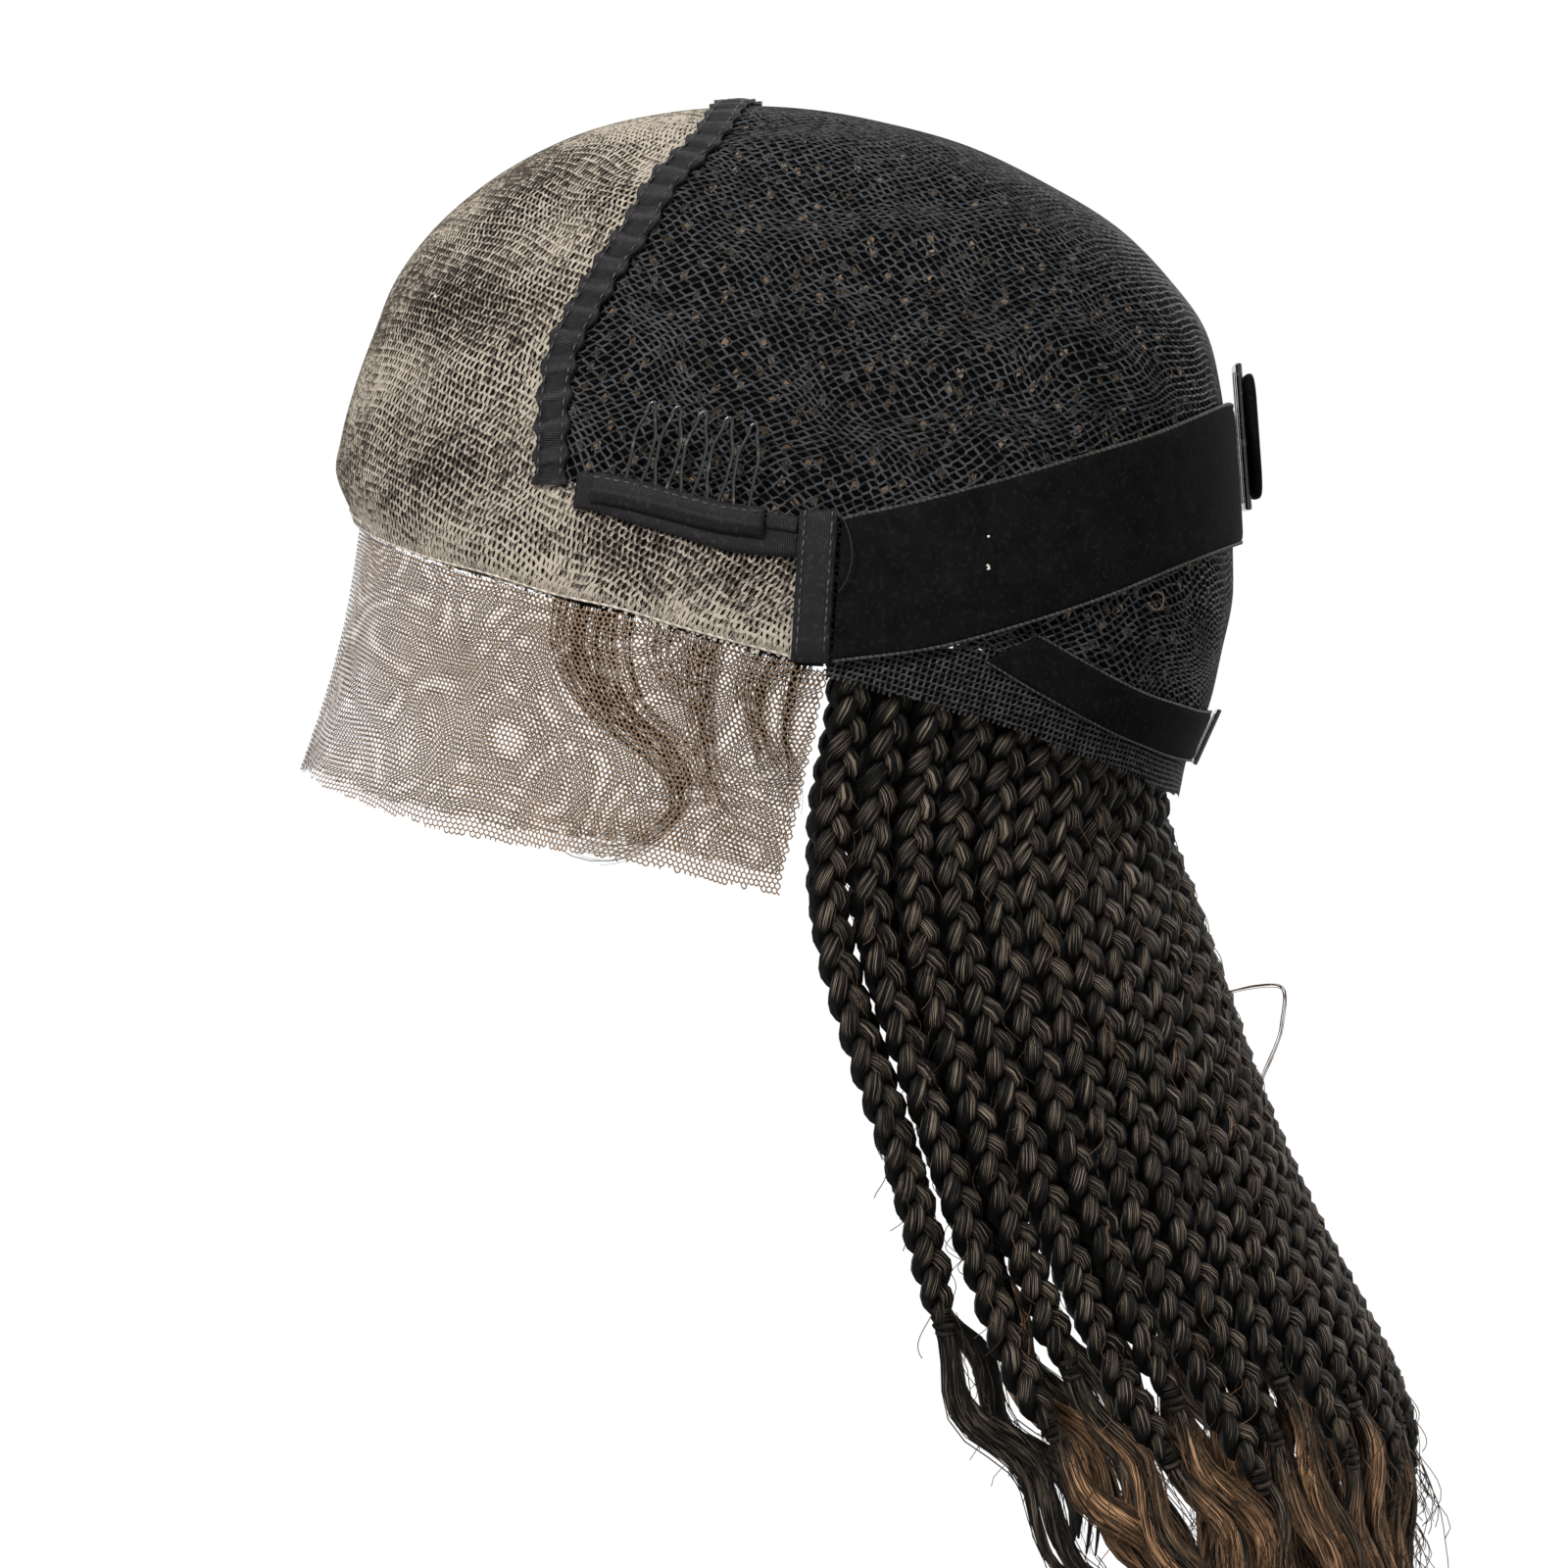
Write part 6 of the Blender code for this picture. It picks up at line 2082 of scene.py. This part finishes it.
@dataclass
class FineHair:
    """Single hairs: the baby hair behind the flap, and the flyaways of the braids and locks."""

    # Side-view paths in millimetres behind the origin and above it, with the count of hairs and their spread
    curls: tuple[tuple[Table, int, float], ...] = (
        (
            ((-38.8, -111.0), (-41.0, -122.6), (-38.4, -131.7), (-29.7, -141.7), (-21.9, -148.2), (-17.1, -155.2),
             (-18.4, -162.1), (-24.1, -166.5), (-31.9, -168.6), (-38.8, -167.3), (-43.6, -163.4), (-44.9, -158.4)),
            34, 2.6,
        ),
        (((-30.8, -112.0), (-31.6, -125.0), (-27.7, -136.8), (-18.0, -145.6), (-12.1, -153.6),
          (-15.0, -163.0)), 18, 2.4),
        (((-10.4, -119.2), (-12.2, -131.5), (-11.3, -142.3), (-10.0, -153.0), (-6.6, -160.8), (-0.8, -165.1),
          (5.9, -165.5)), 26, 2.8),
        (((4.6, -124.0), (0.3, -133.7), (1.6, -144.0), (5.7, -155.2), (7.2, -164.2)), 26, 3.0),
        (((10.3, -125.8), (8.0, -134.8), (6.8, -143.4), (8.4, -153.0), (7.1, -161.6)), 20, 2.2),
        (((-20.0, -116.0), (-22.0, -124.0), (-17.0, -135.0), (-9.0, -141.0)), 12, 2.0),
    )
    wisp: Table = ((107.9, -202.4), (114.6, -201.0), (120.2, -201.2), (120.5, -209.1), (115.7, -222.6))
    radius: float = 0.15 * MM
    points: int = 26

    def curl(self, mould: Mould, grid: Array, table: Table, count: int, wide: float, side: Side, seed: int) -> None:
        """Hairs along one swirl: they leave the hairline side by side, gather and fan out at the end.

        Args:
            mould: Takes the hairs.
            grid: The flap's surface, which they lie behind.
            table: The swirl's path.
            count: How many hairs.
            wide: Their spread in millimetres.
            side: Which half they lie on.
            seed: Fixes their strays.
        """
        rng = np.random.default_rng(seed)
        base = np.array(table) * MM
        dense = spread(np.stack([np.zeros(len(base)), base[:, 0], base[:, 1]], axis=1), self.points)
        t = np.linspace(0.0, 1.0, self.points)
        offset = rng.normal(size=(count, 1)) * wide * MM * (0.35 + 0.65 * np.abs(1 - 1.7 * t)[None, :])
        offset = offset + 0.7 * MM * np.sin(t * 9 + rng.uniform(0, math.tau, (count, 1))) * t
        tangent = unit(np.gradient(dense, axis=0))
        across = np.stack([np.zeros(self.points), -tangent[:, 2], tangent[:, 1]], axis=1)
        wanted = t[None, :] * rng.uniform(0.62, 1.0, (count, 1)) * (self.points - 1)
        paths, away = (read_along(each, np.arange(self.points), wanted) for each in (dense, across))
        paths = paths + away * offset[..., None]
        half = grid[:, : grid.shape[1] // 2 + 1].reshape(-1, 3)[::3]
        flat = paths.reshape(-1, 3)[:, 1:]
        near = np.argmin(((flat[:, None] - half[None, :, 1:]) ** 2).sum(axis=-1), axis=1)
        x = np.abs(half[near, 0]).reshape(count, self.points)
        x = np.array([np.convolve(np.pad(row, 2, mode="edge"), np.ones(5) / 5, mode="valid") for row in x])
        paths[..., 0] = x - (1.6 + 1.2 * rng.uniform(size=(count, 1)) + 1.5 * t) * MM
        fine = self.radius * (1 - 0.7 * t) * rng.uniform(0.7, 1.3, (count, 1))
        mould.tubes(paths * side.turn, fine, fine, 3, (side.value, 0.0, 0.0), rng.uniform(-0.2, 0.5, count))

    def fly(self, mould: Mould, roots: Array, outward: Array, reach: float, seed: int) -> None:
        """Stray hairs: each rises from a root and curls down, a slow spiral whose radius grows.

        Args:
            mould: Takes the hairs.
            roots: Where they leave the braid.
            outward: Outward direction at each root.
            reach: Their typical length.
            seed: Fixes their lengths and curls.
        """
        rng = np.random.default_rng(seed)
        count = len(roots)
        t = np.linspace(0.0, 1.0, 9)
        length = reach * rng.uniform(0.4, 1.3, (count, 1))
        swirl = rng.uniform(0.6, 1.9, (count, 1)) * math.tau * 0.5 * t + rng.uniform(0, math.tau, (count, 1))
        side = unit(np.cross(outward, (0.0, 0.0, 1.0)))
        rise = outward[:, None] * (np.sin(t * 2.2)[None, :, None] * length[..., None] * 0.22)
        fall = np.array((0.0, 0.0, -1.0)) * (t[None, :, None] * length[..., None] * 0.75)
        curl = side[:, None] * (np.sin(swirl) * t * length * 0.28)[..., None]
        paths = roots[:, None] + rise + fall + curl - outward[:, None] * 0.4 * MM
        mould.tubes(paths, 0.12 * MM, 0.12 * MM, 3, outward[:, None], rng.uniform(-0.2, 0.9, count))

    def build(self, finishes: Finishes, flap: LaceFlap, hair: Hair) -> None:
        """Makes and places all the single hairs.

        Args:
            finishes: The wig's finishes.
            flap: The flap that the baby hair lies behind.
            hair: The braids that the stray hairs leave.
        """
        grid = flap.surface(60, 90)
        braids = hair.outer.braids
        for side in Side:
            mould = Mould()
            for i, (table, count, wide) in enumerate(self.curls):
                self.curl(mould, grid, table, count, wide, side, 70 + i)
            place(finishes.fine_hair.dress(mould.make("baby_hair_" + side.word)))
            flying = Mould()
            rng = np.random.default_rng(81 if side is Side.LEFT else 82)
            for i, (_, end, drift) in enumerate(braids):
                line = hair.line((i + 0.5) / len(braids), drift / len(braids), 0.0, end)
                across, outward = hair.frames(line)
                pick = rng.integers(30, 392, 34)
                angle = rng.uniform(-1.4, 1.4, 34)[:, None]
                away = outward[pick] * np.cos(angle) + across[pick] * np.sin(angle)
                roots = line[pick] + away * 3.6 * MM
                self.fly(flying, roots * side.turn, away * side.turn, 12 * MM, 300 + i)
                low = (pick > 290) & (pick < 352)
                self.fly(flying, roots[low] * side.turn, away[low] * side.turn, 24 * MM, 400 + i)
            if side is Side.LEFT:
                bends = np.array(self.wisp) * MM
                line = spread(np.stack([np.full(5, 22 * MM), bends[:, 0], bends[:, 1]], axis=1), 40)
                offsets = rng.normal(scale=0.22 * MM, size=(7, 1, 3))
                offsets = offsets + rng.normal(scale=0.02 * MM, size=(7, 40, 3)).cumsum(1)
                flying.tubes(line + offsets, 0.09 * MM, 0.09 * MM, 3, (0.0, 1.0, 0.0), 0.9)
            place(finishes.hair.dress(flying.make("stray_hairs_" + side.word)))


def aimed(direction: Array) -> Any:
    """The turn that points an object's -Z along a direction with its Y upward."""
    return Vector(direction).to_track_quat("-Z", "Y").to_euler()


@dataclass(frozen=True)
class Studio:
    """The pale floor and backdrop, the soft lights and the camera."""

    distance: float = 1.3
    lens: float = 128.7
    aim: tuple[float, float, float] = (0.0, 0.0068, -0.1552)
    elevation: float = 1.0
    floor: float = 1.9
    bend: float = 0.9
    wall: float = 3.6
    drop: float = 0.44
    corners: int = 48

    def build(self) -> None:
        """Makes them."""
        self.build_sweep()
        self.build_lights()
        self.build_camera()

    def build_sweep(self) -> None:
        """The floor and backdrop, one bowl turned about the upright axis: level, a quarter circle, then upright."""
        turn = np.linspace(0.0, math.pi / 2, 10)
        out = np.concatenate([[0.02], self.floor + self.bend * np.sin(turn), [self.floor + self.bend]])
        up = np.concatenate([[0.0], self.bend * (1 - np.cos(turn)), [self.wall]]) - self.drop
        around = np.linspace(0.0, math.tau, self.corners + 1)
        flat = np.stack([np.cos(around), np.sin(around), np.ones(self.corners + 1)], axis=-1)
        grid = flat * np.stack([out, out, up], axis=-1)[:, None]
        mould = Mould()
        mould.add(grid[None, :, :-1], lengths_map(grid)[None], 0.0, wrap=True)
        mould.add_faces(np.arange(self.corners)[None, ::-1], np.zeros(2))
        sweep = mould.make("studio_sweep")
        # The bowl has no colour of its own: it glows, painted light, white behind the wig and dimmer toward the
        # camera.
        finish = Finish("glowing_backdrop", "")
        finish.set(Base_Color=(0.0, 0.0, 0.0), Specular_IOR_Level=0.0, Roughness=0.9)
        forward, _, _ = finish.split(finish.place())
        glow = finish.blend(forward.between(-0.7, 0.5), (1.0, 1.0, 1.0), (0.72, 0.72, 0.72))
        finish.set(Emission_Color=glow, Emission_Strength=1.02)
        sweep.data.materials.append(finish.made)

    def build_lights(self) -> None:
        """A faint even surround, soft key, fill, top and rear lights, and a wash of the backdrop."""
        world = bpy.data.worlds.new("studio_air")
        world.use_nodes = True
        world.node_tree.nodes["Background"].inputs[0].default_value = (1.0, 1.0, 1.0, 1.0)
        world.node_tree.nodes["Background"].inputs[1].default_value = 0.10
        bpy.context.scene.world = world
        bpy.context.scene.view_settings.view_transform = "Standard"
        lights = (
            ("key", (1.35, -0.75, 0.95), self.aim, (0.40, 0.40), 40.0),
            ("fill", (1.5, 1.1, 0.1), self.aim, (0.8, 0.8), 3.0),
            ("top", (0.2, 0.3, 1.3), self.aim, (0.6, 0.6), 8.0),
            ("rear", (-1.0, 1.2, 0.6), self.aim, (0.6, 0.6), 10.0),
            ("backdrop_wash", (-0.9, 0.0, 1.7), (-1.8, 0.0, 0.1), (3.5, 1.0), 30.0),
        )
        for name, spot, aim, (long, wide), power in lights:
            light = bpy.data.lights.new(name, "AREA")
            light.shape = "DISK" if long == wide else "RECTANGLE"
            light.size, light.size_y = long, wide
            light.energy = power
            lamp = bpy.data.objects.new(name, light)
            lamp.location = spot
            lamp.rotation_euler = aimed(np.array(aim) - np.array(spot))
            bpy.context.scene.collection.objects.link(lamp)

    def build_camera(self) -> None:
        """The camera looks straight at the left side, a touch from above."""
        camera = bpy.data.cameras.new("side_view")
        camera.lens = self.lens
        camera.sensor_width = 36.0
        camera.clip_start, camera.clip_end = 0.05, 20.0
        eye = bpy.data.objects.new("side_view", camera)
        tilt = math.radians(self.elevation)
        offset = np.array((math.cos(tilt), 0.0, math.sin(tilt))) * self.distance
        eye.location = tuple(np.array(self.aim) + offset)
        eye.rotation_euler = aimed(-offset)
        bpy.context.scene.collection.objects.link(eye)
        bpy.context.scene.camera = eye


def main() -> None:
    """Builds the wig in order, then the studio."""
    logging.basicConfig(level=logging.INFO, format="%(name)s %(message)s")
    finishes = Finishes()
    trims = Trims()
    CapPanels().build(finishes)
    trims.build(finishes)
    Bands().build(finishes, trims)
    Combs().build(finishes, trims)
    SmallThings().build(finishes, trims)
    flap = LaceFlap()
    flap.build(finishes)
    hair = Hair()
    hair.build(finishes)
    FineHair().build(finishes, flap, hair)
    Studio().build()


if __name__ == "__main__":
    main()
